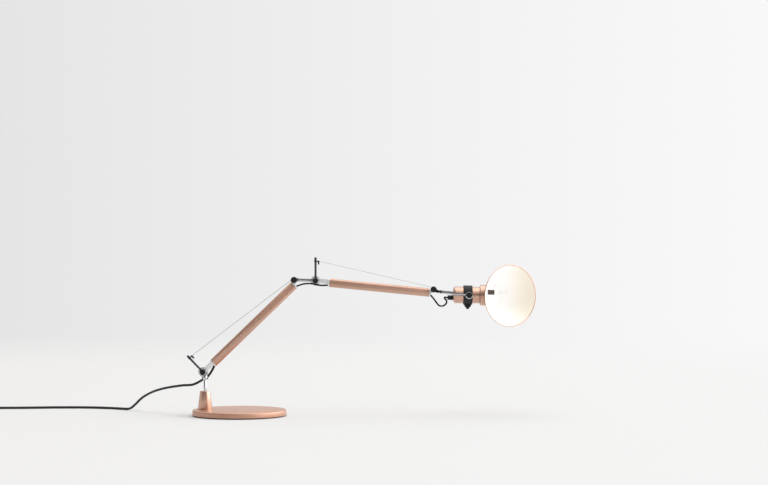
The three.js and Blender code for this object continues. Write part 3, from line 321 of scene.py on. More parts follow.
base_copper = copper("base_copper", COPPER_BLASTED, 1300.0, 0.03, Coat_Weight=0.35, Coat_IOR=1.5)
inner = COVER_RADIUS - COVER_WALL
cover = turned("spun_cover", [
    (inner - COVER_EDGE, COVER_TOP - COVER_WALL), (inner, COVER_TOP - COVER_WALL - COVER_EDGE / 2),
    (inner, COVER_FOOT), (COVER_RADIUS, COVER_FOOT),
    *quarter_round(COVER_RADIUS, COVER_TOP, COVER_EDGE, 8),
], sides=160)
mount(cover, HERE, "base", base_copper, "base", "base_cover", edge=0.15)

# Cone: a turned aluminium cone, anodised like the cover and screwed to the weight from below. A nylon bush
# is pressed into its bore and lets the post swivel.
SWIVEL_X = -62.3
CONE_FOOT = 13.5
CONE_TOP = 9.3
CONE_END = 45.0
BORE = 4.8
BORE_FLOOR = 20.0
BUSH_OUTER = 4.5
BUSH_INNER = 2.8
NYLON_DARK = (0.66, 0.64, 0.58, 1)
NYLON_LIGHT = (0.80, 0.78, 0.72, 1)


def shift(x, y, z):
    """A move by millimetres."""
    return Matrix.Translation((x * MM, y * MM, z * MM))


at_swivel = shift(SWIVEL_X, 0, 0)
cone_copper = copper("cone_copper", COPPER_ROUGH, 1500.0, 0.06, stretch=(30, 30, 1))
cone = turned("mast_cone", [
    (CONE_FOOT, COVER_TOP), *quarter_round(CONE_TOP, CONE_END, 0.8), (BORE, CONE_END), (BORE, BORE_FLOOR),
], sides=96)
mount(cone, at_swivel, "base", cone_copper, "base", "post_cone")

nylon = grained("natural_nylon", NYLON_DARK, NYLON_LIGHT, (0.42, 0.55), 700.0, 0.1)
bush = turned("mast_bush", [
    (BUSH_OUTER, BORE_FLOOR + 0.3), (BUSH_OUTER, CONE_END), (BUSH_INNER, CONE_END), (BUSH_INNER, 21.5),
], sides=48)
mount(bush, at_swivel, "base", nylon, "nylon", "swivel_bush", edge=0.15)

# Post: a polished steel rod that turns in the bush, and the head pressed onto it. The head is a round
# socket with a neck and a flat hub, through which the shoulder bolt goes.
ROD_RADIUS = 2.5
ROD_FOOT = 21.8
ROD_TOP = 70.1
SHOULDER = Vector((-66.1, 0, 79.1))
HUB_RADIUS = 5.0
HUB_HALF = 2.5
SOCKET_RADIUS = 4.15
SINK = 0.02
PIVOT_BORE = 1.8
POLISHED_DARK = (0.50, 0.505, 0.51, 1)
POLISHED_LIGHT = (0.62, 0.625, 0.63, 1)

ONTO_X = Matrix.Rotation(math.pi / 2, 4, "Y")
ONTO_Y = Matrix.Rotation(-math.pi / 2, 4, "X")
ONTO_FRONT = Matrix.Rotation(math.pi / 2, 4, "X")


def seat(place, slope):
    """The frame of an arm or link: at a pivot in mm, its X turned up by a slope in degrees."""
    return Matrix.Translation(Vector(place) * MM) @ Matrix.Rotation(-math.radians(slope), 4, "Y")


def worked(piece, operation, *tools):
    """Joins tools onto a piece or cuts it with them, and takes them away."""
    for tool in tools:
        take(piece)
        work = piece.modifiers.new("work", "BOOLEAN")
        work.operation = operation
        work.object = tool
        work.solver = "EXACT"
        bpy.ops.object.modifier_apply(modifier=work.name)
        bpy.data.objects.remove(tool)
    return piece


def rod(name, radius, start, end, place=HERE, sides=48):
    """A plain round bar about Z, used to join and to drill."""
    return set_down(turned(name, [(radius, start), (radius, end)], sides), place)


def pivot_bore(half, place=HERE):
    """The drill for the bolt of a pivot, along Y."""
    return rod("drill", PIVOT_BORE, -half, half, place @ ONTO_Y)


def choose(piece, kind, wanted):
    """Leaves a piece in edit mode with only its wanted faces, edges or points selected."""
    take(piece)
    bpy.ops.object.mode_set(mode="EDIT")
    bpy.ops.mesh.select_mode(type=kind)
    bpy.ops.mesh.select_all(action="DESELECT")
    bpy.ops.object.mode_set(mode="OBJECT")
    elements = {"VERT": piece.data.vertices, "EDGE": piece.data.edges, "FACE": piece.data.polygons}[kind]
    for element in elements:
        element.select = wanted(element)
    bpy.ops.object.mode_set(mode="EDIT")


def eyed_plate(name, radius, root, low, high, near, far, sides=48):
    """A plate round a pivot: a disc whose one half is drawn out along X to a straight root."""
    bpy.ops.mesh.primitive_circle_add(vertices=sides, radius=radius * MM, fill_type="NGON",
                                      rotation=(math.pi / 2, 0, 0))
    piece = bpy.context.object
    piece.name = name
    bpy.ops.object.transform_apply(rotation=True)
    side = math.copysign(1, root)
    choose(piece, "VERT", lambda point: point.co.x * side > 0.01 * MM)
    reach = radius * math.cos(2 * math.pi / sides)
    resized(0, 1, (high - low) / 2 / reach)
    bpy.ops.transform.translate(value=(root * MM, 0, (low + high) / 2 * MM))
    bpy.ops.mesh.select_all(action="SELECT")
    bpy.ops.transform.translate(value=(0, near * MM, 0))
    extruded(0, far - near, 0)
    close_mesh(outward=True)
    return piece


polished = grained("polished_steel", POLISHED_DARK, POLISHED_LIGHT, (0.08, 0.2), 260.0, 0.02, metallic=1.0)
post = turned("mast_rod", [(ROD_RADIUS, ROD_FOOT), (ROD_RADIUS, ROD_TOP)], sides=48)
mount(post, at_swivel, "post", polished, "polished", "post_rod", edge=0.3)

at_shoulder = seat(SHOULDER, 0)
hub = rod("shoulder_head", HUB_RADIUS, -HUB_HALF, HUB_HALF, at_shoulder @ ONTO_Y)
socket = rod("socket", SOCKET_RADIUS, 64.6, 72.6, at_swivel)
neck = set_down(eyed_plate("neck", HUB_RADIUS - SINK, 6.6, 0.1, 7.1, -HUB_HALF + SINK, HUB_HALF - SINK),
                seat(SHOULDER, -90))
worked(hub, "UNION", socket, neck)
worked(hub, "DIFFERENCE", rod("drill", 2.8, 0, 70.4, at_swivel), pivot_bore(4, at_shoulder))
mount(hub, HERE, "post", polished, "polished", "post_head", edge=0.25)

# Levers: a dark chromed steel rod is screwed into each of the two lower hubs and points back from the arm.
# A collar near its tip holds a cross pin with the black nylon block in which the balance cable is clamped,
# and a black cap closes its end.
ELBOW = Vector((98.846, 0, 245.782))
UPPER_ELBOW = Vector((137.625, 0, 244.496))
LEVER_RADIUS = 2.0
COLLAR = (33.0, 38.0)
COLLAR_RADIUS = 2.5
PIN_AT = 35.0
BLOCK_SIZE = (7.4, 5.0, 2.7)
BLOCK_AT = (32.78, 0, -5.6)
LEVER_DARK = (0.055, 0.056, 0.058, 1)
LEVER_LIGHT = (0.085, 0.086, 0.088, 1)
PLASTIC_DARK = (0.009, 0.009, 0.010, 1)
PLASTIC_LIGHT = (0.018, 0.018, 0.019, 1)


def block(name, size, at, place=HERE):
    """A squared block about a point, used to join, to cut and to shape."""
    bpy.ops.mesh.primitive_cube_add(size=1, location=Vector(at) * MM)
    piece = bpy.context.object
    piece.name = name
    piece.scale = Vector(size) * MM
    return set_down(piece, place)


def span(piece, edge):
    """The vector between the two ends of an edge."""
    first, second = (piece.data.vertices[corner].co for corner in edge.vertices)
    return second - first


def rounded(piece, wanted, radius, segments):
    """Rounds the wanted edges of a piece."""
    choose(piece, "EDGE", wanted)
    bpy.ops.mesh.bevel(offset=radius * MM, segments=segments)
    close_mesh()


plastic = grained("black_nylon", PLASTIC_DARK, PLASTIC_LIGHT, (0.36, 0.5), 1100.0, 0.12,
                  Specular_IOR_Level=0.28)
dark_chrome = grained("dark_chrome", LEVER_DARK, LEVER_LIGHT, (0.1, 0.22), 260.0, 0.02, metallic=1.0)
lever_seats = {
    "shoulder": ("post", seat(SHOULDER, 133.9), 41.0),
    "elbow": ("elbow", seat(UPPER_ELBOW, 90), 42.0),
}
for joint, (body, place, reach) in lever_seats.items():
    lever = turned(joint + "_lever_rod", [
        (1.2, 2.9), (1.2, 5.3), (LEVER_RADIUS, 5.3), (LEVER_RADIUS, COLLAR[0]),
        (COLLAR_RADIUS, COLLAR[0]), (COLLAR_RADIUS, COLLAR[1]), (1.3, COLLAR[1]), (1.3, reach - 1.5),
    ], sides=40)
    set_down(lever, ONTO_X)
    worked(lever, "UNION", rod("pin", 1.1, -4.25, 0.5, shift(PIN_AT, 0, 0), 24))
    mount(lever, place, body, dark_chrome, "polished", joint + "_lever", edge=0.15)

    cap = turned(joint + "_lever_tip", [
        (1.35, reach - 1.0), (1.35, COLLAR[1] + 0.3), (2.2, COLLAR[1] + 0.3), *quarter_round(2.2, reach, 0.7),
    ], sides=32)
    mount(cap, place @ ONTO_X, body, plastic, "plastic", joint + "_lever_cap")

    clamp = block(joint + "_lever_clamp", BLOCK_SIZE, BLOCK_AT)
    rounded(clamp, lambda edge: abs(span(clamp, edge).y) > 1 * MM, 1.05, 5)
    mount(clamp, place, body, plastic, "plastic", joint + "_cable_block", edge=0.2)

# Arm tubes: two lengths of flat-sided aluminium tube with round corners, extruded, sawn off square and
# anodised in satin rose copper. The lines of the extrusion run along them.
TUBE_SECTION = (11.0, 15.6, 5.0)
TUBE_WALL = 1.2
TUBE_START = 25.6
AXIS_DROP = -1.4
arms = {
    "lower": {"seat": seat(SHOULDER, 44.054), "end": 226.94, "pivot": 234.44, "spring": 105.0},
    "upper": {"seat": seat(UPPER_ELBOW, -5.565), "end": 206.54, "pivot": 214.04, "spring": 90.0},
}


def round_bar(name, deep, tall, corner, start, end, segments=6):
    """A bar along X with a rounded section, about the axis of an arm tube."""
    bar = block(name, (end - start, deep, tall), ((start + end) / 2, 0, AXIS_DROP))
    rounded(bar, lambda edge: abs(span(bar, edge).x) > 0.5 * MM, corner, segments)
    return bar


for name, arm in arms.items():
    tube = round_bar(name + "_arm_tube", *TUBE_SECTION, TUBE_START, arm["end"])
    choose(tube, "FACE", lambda face: abs(face.normal.x) > 0.9)
    bpy.ops.mesh.inset(thickness=TUBE_WALL * MM, use_even_offset=True)
    bpy.ops.mesh.bridge_edge_loops()
    close_mesh()
    tube_copper = copper(name + "_tube_copper", COPPER_BLASTED, 900.0, 0.02, place=arm["seat"],
                         stretch=(60, 1, 1))
    mount(tube, arm["seat"], name + "_arm", tube_copper, "tube", name + "_tube", edge=0.2)

# Near forks: die-cast in aluminium and tumbled. A plug fits inside the tube, a flange covers its end, and
# two cheeks go round the hub of the shoulder or the elbow. The lead passes through a slot below.
SATIN_DARK = (0.74, 0.745, 0.75, 1)
SATIN_LIGHT = (0.84, 0.845, 0.85, 1)
FLANGE = 2.2
CHEEK = (2.8, 4.8)
CHEEK_RADIUS = 4.25
INSERT_SECTION = (8.0, 12.6, 3.8)
SLOT = 2.5
SLOT_DROP = 5.5

satin = grained("satin_casting", SATIN_DARK, SATIN_LIGHT, (0.34, 0.46), 900.0, 0.06, metallic=0.45)
near_fork = round_bar("near_fork", *TUBE_SECTION, 25.3 - FLANGE, 25.3)
near_plug = round_bar("near_plug", *INSERT_SECTION, 24.5, 37.6)


def pair(radius, root, low, high, sides):
    """The two plates of a fork, each between the same distances from the middle."""
    return [eyed_plate("plate", radius, root, low, high, near, far)
            for near, far in ((-sides[1], -sides[0]), sides)]


worked(near_fork, "UNION", near_plug, *pair(CHEEK_RADIUS, 24.0, -CHEEK_RADIUS, CHEEK_RADIUS, CHEEK))
worked(near_fork, "DIFFERENCE", rod("drill", SLOT, 20, 40, shift(0, 0, -SLOT_DROP) @ ONTO_X),
       block("slot", (22, 2 * SLOT, 8), (30, 0, -9.5)), pivot_bore(6))
for name, arm in arms.items():
    fork = near_fork.copy()
    fork.data = near_fork.data.copy()
    fork.name = name + "_near_fork"
    bpy.context.collection.objects.link(fork)
    mount(fork, arm["seat"], name + "_arm", satin, "fitting", name + "_fork", edge=0.25)
bpy.data.objects.remove(near_fork)

# Far fittings: cast like the forks, with two ears outside the clevis of the next link. The cable leaves
# the spring through a small hole above and the lead leaves through a larger one below.
EAR = (4.6, 6.6)
EAR_RADIUS = 4.7
PIVOT_RISE = 5.1
LEAD_HOLE = 1.9
CABLE_HOLE = 1.0

for name, arm in arms.items():
    end = arm["end"]
    fitting = round_bar(name + "_far_fitting", *TUBE_SECTION, end + 0.3, end + 0.3 + FLANGE)
    far_plug = round_bar("far_plug", *INSERT_SECTION, end - 12, end + 1.4)
    arm["far"] = shift(arm["pivot"], 0, PIVOT_RISE)
    ears = [set_down(ear, arm["far"]) for ear in pair(EAR_RADIUS, -6.6, -8.84, -1.2, EAR)]
    worked(fitting, "UNION", far_plug, *ears)
    worked(fitting, "DIFFERENCE", rod("drill", LEAD_HOLE, end - 16, end + 8, shift(0, 0, -6.0) @ ONTO_X),
           rod("drill", CABLE_HOLE, end - 16, end + 8, shift(0, 0, 2.0) @ ONTO_X, 24),
           pivot_bore(8, arm["far"]))
    mount(fitting, arm["seat"], name + "_arm", satin, "fitting", name + "_end_fitting", edge=0.25)

# Knobs, bolts and discs: each pivot is held by a black bolt with a hexagon socket at the back and a ribbed
# black knob at the front, which sets its friction. A turned disc backs the bolt at the two larger pivots.
KNOB_THICK = 6.0
RIBS = 26
BOLT_HEAD = 4.8
DISC_RADIUS = 9.0


def ribbed_knob(name, radius):
    """A knob about Z, its back at 0, with a bore for the bolt and grooves pressed into its rim."""
    knob = turned(name, [
        (PIVOT_BORE, 4.5), (PIVOT_BORE, 0), (radius - 0.3, 0), (radius, 0.35), (radius, KNOB_THICK - 0.9),
        (radius - 0.3, KNOB_THICK - 0.3), (radius - 0.9, KNOB_THICK), (radius * 0.62, KNOB_THICK),
        (radius * 0.52, KNOB_THICK - 0.5),
    ], sides=3 * RIBS)

    def groove(face):
        turn = math.atan2(face.center.y, face.center.x) / (2 * math.pi) * 3 * RIBS
        on_rim = abs(face.normal.z) < 0.1 and face.center.xy.length > (radius - 0.5) * MM
        return on_rim and math.floor(turn) % 3 == 0

    choose(knob, "FACE", groove)
    bpy.ops.mesh.inset(thickness=0.06 * MM, depth=-0.3 * MM, use_individual=True)
    close_mesh()
    return knob


def socket_bolt(name, tip, face, sides=48):
    """A bolt about Z, with its shank towards -Z and its domed head above face."""
    top = face + 5.0
    bolt = turned(name, [(1.2, tip), (1.5, tip + 0.3), (1.5, face), (BOLT_HEAD - 0.2, face),
                         *quarter_round(BOLT_HEAD, top, 0.9)], sides)
    return worked(bolt, "DIFFERENCE", rod("hexagon", 2.3, top - 2.6, top + 1, sides=6))


pivots = [
    ("shoulder", "lower_arm", arms["lower"]["seat"], 5.25, 5.1, "shoulder_disc"),
    ("lower_elbow", "lower_arm", arms["lower"]["seat"] @ arms["lower"]["far"], 5.75, 6.9, None),
    ("upper_elbow", "upper_arm", arms["upper"]["seat"], 5.0, 5.1, "elbow_disc"),
    ("wrist", "upper_arm", arms["upper"]["seat"] @ arms["upper"]["far"], 5.5, 6.9, None),
]
for name, body, place, radius, face, disc in pivots:
    knob = ribbed_knob(name + "_hand_knob", radius)
    front = shift(0, -face, 0) @ ONTO_FRONT
    mount(knob, place @ front, body, plastic, "plastic", name + "_knob", edge=0)
    bolt = socket_bolt(name + "_socket_bolt", -face - 4.2, face + (1.9 if disc else 0))
    mount(bolt, place @ ONTO_Y, body, plastic, "plastic", name + "_bolt")
    if disc:
        washer = turned(name + "_back_disc", [
            (PIVOT_BORE, face), (8.6, face), (DISC_RADIUS, face + 0.3), (DISC_RADIUS, face + 1.3),
            (8.6, face + 1.6), (PIVOT_BORE, face + 1.6),
        ], sides=80, hollow=True)
        mount(washer, place @ ONTO_Y, body, satin, "fitting", disc)

# Springs and pulleys: a steel tension spring lies in each tube and pulls the balance cable over a nylon
# pulley at the far pivot. The spring is wound from 1 mm wire and is drawn open by its load.
SPRING_RADIUS = 3.0
SPRING_WIRE = 0.5
SPRING_START = 37.9
SPRING_RISE = 0.8
SPRING_PITCH = 1.5

spring_steel = grained("spring_steel", STEEL_DARK, STEEL_LIGHT, (0.25, 0.4), 900.0, 0.1, metallic=1.0)
for name, arm in arms.items():
    bpy.ops.mesh.primitive_circle_add(vertices=8, radius=SPRING_WIRE * MM, rotation=(math.pi / 2, 0, 0),
                                      location=(SPRING_RADIUS * MM, 0, SPRING_WIRE * MM))
    spring = bpy.context.object
    spring.name = name + "_tension_spring"
    bpy.ops.object.transform_apply(location=True, rotation=True)
    winding = spring.modifiers.new("winding", "SCREW")
    winding.iterations = int((arm["spring"] - 2 * SPRING_WIRE) / SPRING_PITCH)
    winding.screw_offset = (arm["spring"] - 2 * SPRING_WIRE) / winding.iterations * MM
    winding.steps = winding.render_steps = 14
    bpy.ops.object.modifier_apply(modifier=winding.name)
    open_mesh()
    bpy.ops.mesh.remove_doubles(threshold=MERGE * MM)
    bpy.ops.mesh.fill_holes(sides=8)
    close_mesh(outward=True)
    in_tube = shift(SPRING_START, 0, SPRING_RISE) @ ONTO_X
    mount(spring, arm["seat"] @ in_tube, name + "_arm", spring_steel, "steel", name + "_spring", edge=0)

    wheel = turned(name + "_cable_pulley", [
        (PIVOT_BORE, -1.6), (3.9, -1.6), (3.9, -1.2), (2.4, -0.5), (2.4, 0.5), (3.9, 1.2), (3.9, 1.6),
        (PIVOT_BORE, 1.6),
    ], sides=48, hollow=True)
    mount(wheel, arm["seat"] @ arm["far"] @ ONTO_Y, name + "_pulley", nylon, "nylon", name + "_pulley")

# Elbow link: a short polished bar between the two arms. Its forked end goes round the pulley of the lower
# arm, and its hub sits between the cheeks of the upper arm.
LINK_REACH = 38.8
CLEVIS = (2.3, 4.3)
CLEVIS_RADIUS = 4.6

link_seat = seat(ELBOW, -1.9)
link = block("elbow_bar", (27.2, 4.96, 5.5), (22.9, 0, 0))
root = block("root", (4.0, 8.6, 5.5), (7.6, 0, 0))
at_hub = shift(LINK_REACH, 0, 0)
worked(link, "UNION", root, *pair(CLEVIS_RADIUS, 9.5, -2.75, 2.75, CLEVIS),
       rod("hub", HUB_RADIUS, -HUB_HALF, HUB_HALF, at_hub @ ONTO_Y))
worked(link, "DIFFERENCE", pivot_bore(6), pivot_bore(6, at_hub))
mount(link, link_seat, "elbow", polished, "polished", "elbow_link", edge=0.45, segments=3)

# Wrist clevis and yoke: a blackened clevis round the upper arm's pulley ends in a threaded neck with a
# nut. The neck carries a polished yoke, whose two tines end in round eyes beside the head.
WRIST = Vector((351.150, 0, 228.816))
FORK_DROP = -2.85
TINE = (18.7, 20.9)
YOKE_BACK = 15.3
YOKE_FRONT = 23.7
EYE_AT = 64.54
EYE_RADIUS = 6.7
BLACKENED_DARK = (0.020, 0.021, 0.022, 1)
BLACKENED_LIGHT = (0.036, 0.037, 0.039, 1)

fork_seat = seat(WRIST, -6.771)
on_yoke = shift(0, 0, FORK_DROP)
blackened = grained("blackened_steel", BLACKENED_DARK, BLACKENED_LIGHT, (0.24, 0.38), 800.0, 0.1,
                    metallic=0.9)
clevis = block("wrist_block", (4.9, 8.6, 5.0), (8.05, 0, FORK_DROP))
worked(clevis, "UNION", *pair(CLEVIS_RADIUS, 8.0, FORK_DROP - 2.5, FORK_DROP + 2.5, CLEVIS),
       rod("neck", 2.0, 10.2, 14.7, on_yoke @ ONTO_X), rod("nut", 3.4, 12.5, 15.0, on_yoke @ ONTO_X, 6))
worked(clevis, "DIFFERENCE", pivot_bore(6))
mount(clevis, fork_seat, "fork", blackened, "blackened", "wrist_clevis", edge=0.25)

yoke = block("head_yoke", (8.4, 2 * TINE[1], 5.0), (19.5, 0, 0))
open_mesh()
for side in (-1, 1):
    bpy.ops.mesh.bisect(plane_co=(0, side * TINE[0] * MM, 0), plane_no=(0, 1, 0))
    bpy.ops.mesh.select_all(action="SELECT")
close_mesh()
choose(yoke, "FACE", lambda face: face.normal.x > 0.9 and abs(face.center.y) > TINE[0] * MM)
extruded(EYE_AT - YOKE_FRONT, 0, 0)
resized(1, 1, 0.84)
close_mesh()


def upright(edge, x, y):
    """Whether an edge of the yoke stands upright at a corner of its plan."""
    foot = yoke.data.vertices[edge.vertices[0]].co
    return (abs(span(yoke, edge).z) > 3 * MM and abs(foot.x - x * MM) < 0.1 * MM
            and abs(abs(foot.y) - y * MM) < 0.1 * MM)


rounded(yoke, lambda edge: upright(edge, YOKE_BACK, TINE[1]), 6.0, 10)
rounded(yoke, lambda edge: upright(edge, YOKE_FRONT, TINE[0]), 3.8, 8)
at_eyes = shift(EYE_AT, 0, 0)
worked(yoke, "UNION", *[
    rod("eye", EYE_RADIUS, low + SINK / 2, high - SINK / 2, at_eyes @ ONTO_Y, 64)
    for low, high in ((-TINE[1], -TINE[0]), TINE)])
worked(yoke, "DIFFERENCE", pivot_bore(24, at_eyes))
mount(yoke, fork_seat @ on_yoke, "fork", polished, "polished", "wrist_yoke", edge=0.35, segments=3)

# Tilt knobs: two ribbed black knobs, each with a screw that goes through an eye of the yoke into the head
# ring and sets how stiffly the head tilts.
for name, onto in (("front", ONTO_FRONT), ("rear", ONTO_Y)):
    knob = ribbed_knob("tilt_" + name + "_hand_knob", 5.25)
    set_down(knob, shift(0, 0, TINE[1] + 0.3))
    screw = rod("tilt_" + name + "_screw", 1.5, 16.4, 25.0, sides=32)
    place = fork_seat @ on_yoke @ at_eyes @ onto
    mount(knob, place, "fork", plastic, "plastic", "tilt_knob_" + name, edge=0)
    mount(screw, place, "fork", plastic, "plastic", "tilt_knob_" + name)

# Head ring: a moulded black ring in which the round housing turns. Two bosses take the tilt screws, and
# the tongue below holds the push switch.
HEAD = Vector((414.901, 0, 218.376))
RING = (-10.0, 6.3)
RING_RADIUS = 17.5
RING_BORE = 15.6
RING_EDGE = 0.6
BOSS = 5.5
TONGUE_TIP = -17.1
TONGUE_HALF = 5.5
TONGUE_RADIUS = 6.3

head_seat = seat(HEAD, -0.8)
middle = (RING[0] + RING[1]) / 2
ring = turned("switch_ring", [
    (RING_RADIUS - RING_EDGE, RING[0]), (RING_RADIUS, RING[0] + RING_EDGE),
    (RING_RADIUS, RING[1] - RING_EDGE), (RING_RADIUS - RING_EDGE, RING[1]), (12, RING[1]), (12, RING[0]),
], sides=96, hollow=True)
set_down(ring, ONTO_X)
tongue = set_down(eyed_plate("tongue", TONGUE_RADIUS, -6.6, -8.0, 8.0, -TONGUE_HALF, TONGUE_HALF),
                  shift(middle, 0, TONGUE_TIP) @ ONTO_X)
bosses = rod("bosses", BOSS, -18.4, 18.4, ONTO_Y)
worked(ring, "UNION", tongue, bosses)
at_tongue = shift(middle, 0, 0)
# The well is cut first, because as the last cut it can leave a skin over its mouth
worked(ring, "DIFFERENCE", rod("well", 3.0, -30, -17.4, at_tongue),
       rod("bore", RING_BORE, -14, 10, ONTO_X, 96), pivot_bore(20))
mount(ring, head_seat, "head_back", plastic, "plastic", "head_ring", edge=0.4, segments=3)

button = turned("push_button", [
    (2.7, -19.5), (2.7, -24.5), (2.45, -25.0), (2.0, -25.2), (1.2, -25.1), (0.5, -25.0),
], sides=40)
mount(button, head_seat @ at_tongue, "switch", plastic, "plastic", "switch_button")

# Housings: two turned aluminium cups, anodised in satin rose copper, meet inside the ring. The rear one
# is fixed to it and has the lead's gland; the front one turns and carries the shade.
REAR_RADIUS = 15.2
REAR_END = 28.5
FRONT_RADIUS = 15.0
FRONT_BORE = 13.5
GLAND_DROP = 5.0
HOLDER_RISE = 5.6
HOLDER_HOLE = 4.8

housing_copper = copper("housing_copper", COPPER_ROUGH, 1500.0, 0.06, place=head_seat, stretch=(1, 30, 30))
rear = turned("rear_cup", [
    (13.7, -2.15), (REAR_RADIUS, -2.15),
    *[(radius, -height) for radius, height in quarter_round(REAR_RADIUS, REAR_END, 5.0, 10)],
], sides=96)
choose(rear, "FACE", lambda face: face.normal.z > 0.9)
bpy.ops.mesh.inset(thickness=0.01 * MM)
extruded(0, 0, -21)
close_mesh()
set_down(rear, ONTO_X)
below = shift(0, 0, -GLAND_DROP)
worked(rear, "DIFFERENCE", rod("drill", 3.5, -32, -22, below @ ONTO_X))
mount(rear, head_seat, "head_back", housing_copper, "housing", "rear_housing", edge=0.15)

gland = turned("lead_gland", [
    (1.9, -38.4), (3.9, -38.4), (4.3, -38.0), (4.3, -36.4), (3.9, -36.2), (3.9, -35.6), (4.3, -35.4),
    (4.3, -34.0), (3.9, -33.8), (3.9, -33.2), (4.5, -33.0), (4.5, -28.8), (3.2, -28.8), (3.2, -23.8),
    (1.9, -23.8),
], sides=48, hollow=True)
mount(gland, head_seat @ below @ ONTO_X, "head_back", plastic, "plastic", "cord_gland", edge=0.15)

cup = turned("front_cup", [
    (12.6, 17.6), (FRONT_BORE, 17.4), (FRONT_BORE, -1.85), (FRONT_RADIUS, -1.85), (FRONT_RADIUS, 20.1),
], sides=96)
set_down(cup, ONTO_X)
above = shift(0, 0, HOLDER_RISE)
worked(cup, "DIFFERENCE", rod("drill", HOLDER_HOLE, 10, 24, above @ ONTO_X))
mount(cup, head_seat, "head", housing_copper, "housing", "front_housing", edge=0.2)

# Shade: a cone spun from aluminium sheet with a small dome at its crown and a rolled lip at its mouth,
# copper outside and lip, white enamel inside with a painted glow of the bulb's light. It hangs on its side
# wall, so it faces across the housing.
MOUTH_RADIUS = 56.0
CROWN_RADIUS = 23.0
SHADE_DEPTH = 56.0
STANDOFF = 27.0
FORWARD = 38.0
CROWN_RISE = 5.0
SHADE_WALL = 1.4
LIP = (2.0, 2.2)
HALF_ANGLE = math.atan((MOUTH_RADIUS - CROWN_RADIUS) / SHADE_DEPTH)
MOUTH_CENTRE = Vector((STANDOFF + MOUTH_RADIUS * math.cos(HALF_ANGLE),
                       MOUTH_RADIUS * math.sin(HALF_ANGLE) - FORWARD, 0))
RIM = 1.7
# The enamel inside glows with painted light from the bulb, and is painted warmer towards the right, where the
# bulb's warm light falls
ENAMEL_COLD = (0.86, 0.855, 0.845, 1)
PAINTED_WARM_BULBLIGHT = (0.86, 0.78, 0.65, 1)
PAINTED_BULB_GLOW = 0.22


def crown(radius, rise, foot, steps=10):
    """The points of the shallow dome at the shade's narrow end, from near its pole to its foot."""
    return [(max(radius * math.cos(step / steps * math.pi / 2), 0.6),
             foot - rise * math.sin(step / steps * math.pi / 2)) for step in range(steps, -1, -1)]


facing = Vector((math.sin(HALF_ANGLE), -math.cos(HALF_ANGLE), 0))
turn = Vector((0, 0, 1)).rotation_difference(facing)
onto_mouth = Matrix.Translation(MOUTH_CENTRE * MM) @ turn.to_matrix().to_4x4()
wall_across = SHADE_WALL / math.cos(HALF_ANGLE)
lip_radius = MOUTH_RADIUS - LIP[0]
rolled = quarter_round(MOUTH_RADIUS, 0, RIM / 2)
shade = turned("spun_shade", [
    *crown(CROWN_RADIUS, CROWN_RISE, -SHADE_DEPTH), (MOUTH_RADIUS - 0.3, -1.2), *rolled,
    *[(2 * MOUTH_RADIUS - RIM - radius, height) for radius, height in reversed(rolled[:-1])],
    (lip_radius - LIP[1] * math.tan(HALF_ANGLE), -LIP[1]),
    *reversed(crown(CROWN_RADIUS - wall_across, CROWN_RISE - 0.3, SHADE_WALL - SHADE_DEPTH)),
], sides=160)
set_down(shade, onto_mouth)
worked(shade, "DIFFERENCE", rod("drill", HOLDER_HOLE, 15, 60, above @ ONTO_X))
shade_copper = copper("shade_copper", COPPER_ROUGH, 1300.0, 0.06, place=head_seat @ onto_mouth,
                      stretch=(30, 30, 1))
enamel_with_painted_glow = grained("white_enamel_painted_glow", ENAMEL_COLD, PAINTED_WARM_BULBLIGHT, (0.35, 0.45), 500.0, 0.05,
                 Emission_Strength=PAINTED_BULB_GLOW)
enamel_shader = enamel_with_painted_glow.node_tree.nodes["Principled BSDF"]
enamel_spot = Wire(enamel_with_painted_glow.node_tree).node("TexCoord", output="Object")
# Painted light: the bulb's warm light is painted into the enamel's colour and glow, warmer towards the right
# of the shade
painted_bulb_light = enamel_spot.part("X").ease(0.47, 0.53).between(ENAMEL_COLD, PAINTED_WARM_BULBLIGHT)
painted_bulb_light.feed(enamel_shader, "Base Color")
painted_bulb_light.feed(enamel_shader, "Emission Color")
mount(shade, head_seat, "head", shade_copper, "shade", "shade", edge=0)
shade.data.materials.append(enamel_with_painted_glow)
mouth = head_seat @ onto_mouth.to_translation()
axis = (head_seat.to_3x3() @ facing).normalized()
for face in shade.data.polygons:
    out = face.center - mouth
    radial = out - out.dot(axis) * axis
    inward = face.normal.dot(radial) < 0 or face.normal.dot(axis) > 0.3
    within = radial.length < (MOUTH_RADIUS - RIM) * MM
    face.material_index = 1 if inward and within else 0

# Collar: a turned copper ring between the housing and the shade, with a groove round it and a saddle cut
# to the slope of the shade's wall, so that the two close without a gap.
COLLAR_BORE = 13.0
COLLAR_OUTER = 19.0
COLLAR_GROOVE = 18.2
SADDLE_GAP = 0.3

collar = turned("shade_saddle", [
    (COLLAR_BORE, 20.4), (COLLAR_OUTER - 0.3, 20.4), (COLLAR_OUTER, 20.7), (COLLAR_OUTER, 22.6),
    (COLLAR_GROOVE, 22.6), (COLLAR_GROOVE, 24.4), (COLLAR_OUTER, 24.4), (COLLAR_OUTER, 34.0),
    (COLLAR_BORE, 34.0),
], sides=96, hollow=True)
set_down(collar, ONTO_X)
slack = SADDLE_GAP / math.cos(HALF_ANGLE)
shade_form = turned("shade_form", [
    *crown(CROWN_RADIUS + slack, CROWN_RISE + SADDLE_GAP, -SHADE_DEPTH),
    (MOUTH_RADIUS + slack + 4 * math.tan(HALF_ANGLE), 4),
], sides=96)
worked(collar, "DIFFERENCE", set_down(shade_form, onto_mouth))
mount(collar, head_seat, "head", housing_copper, "housing", "shade_collar", edge=0.15)

# Lamp holder and bulb: a dark ceramic holder goes through the shade's wall and takes a small capsule bulb
# on two pins. The glass is clear quartz, bright with its own light.
HOLDER_DARK = (0.060, 0.041, 0.032, 1)
HOLDER_LIGHT = (0.090, 0.064, 0.052, 1)
HOLDER_RADIUS = 4.5
HOLDER_WHITE = 33.8
GLASS_RADIUS = 4.9
GLASS_END = 69.3

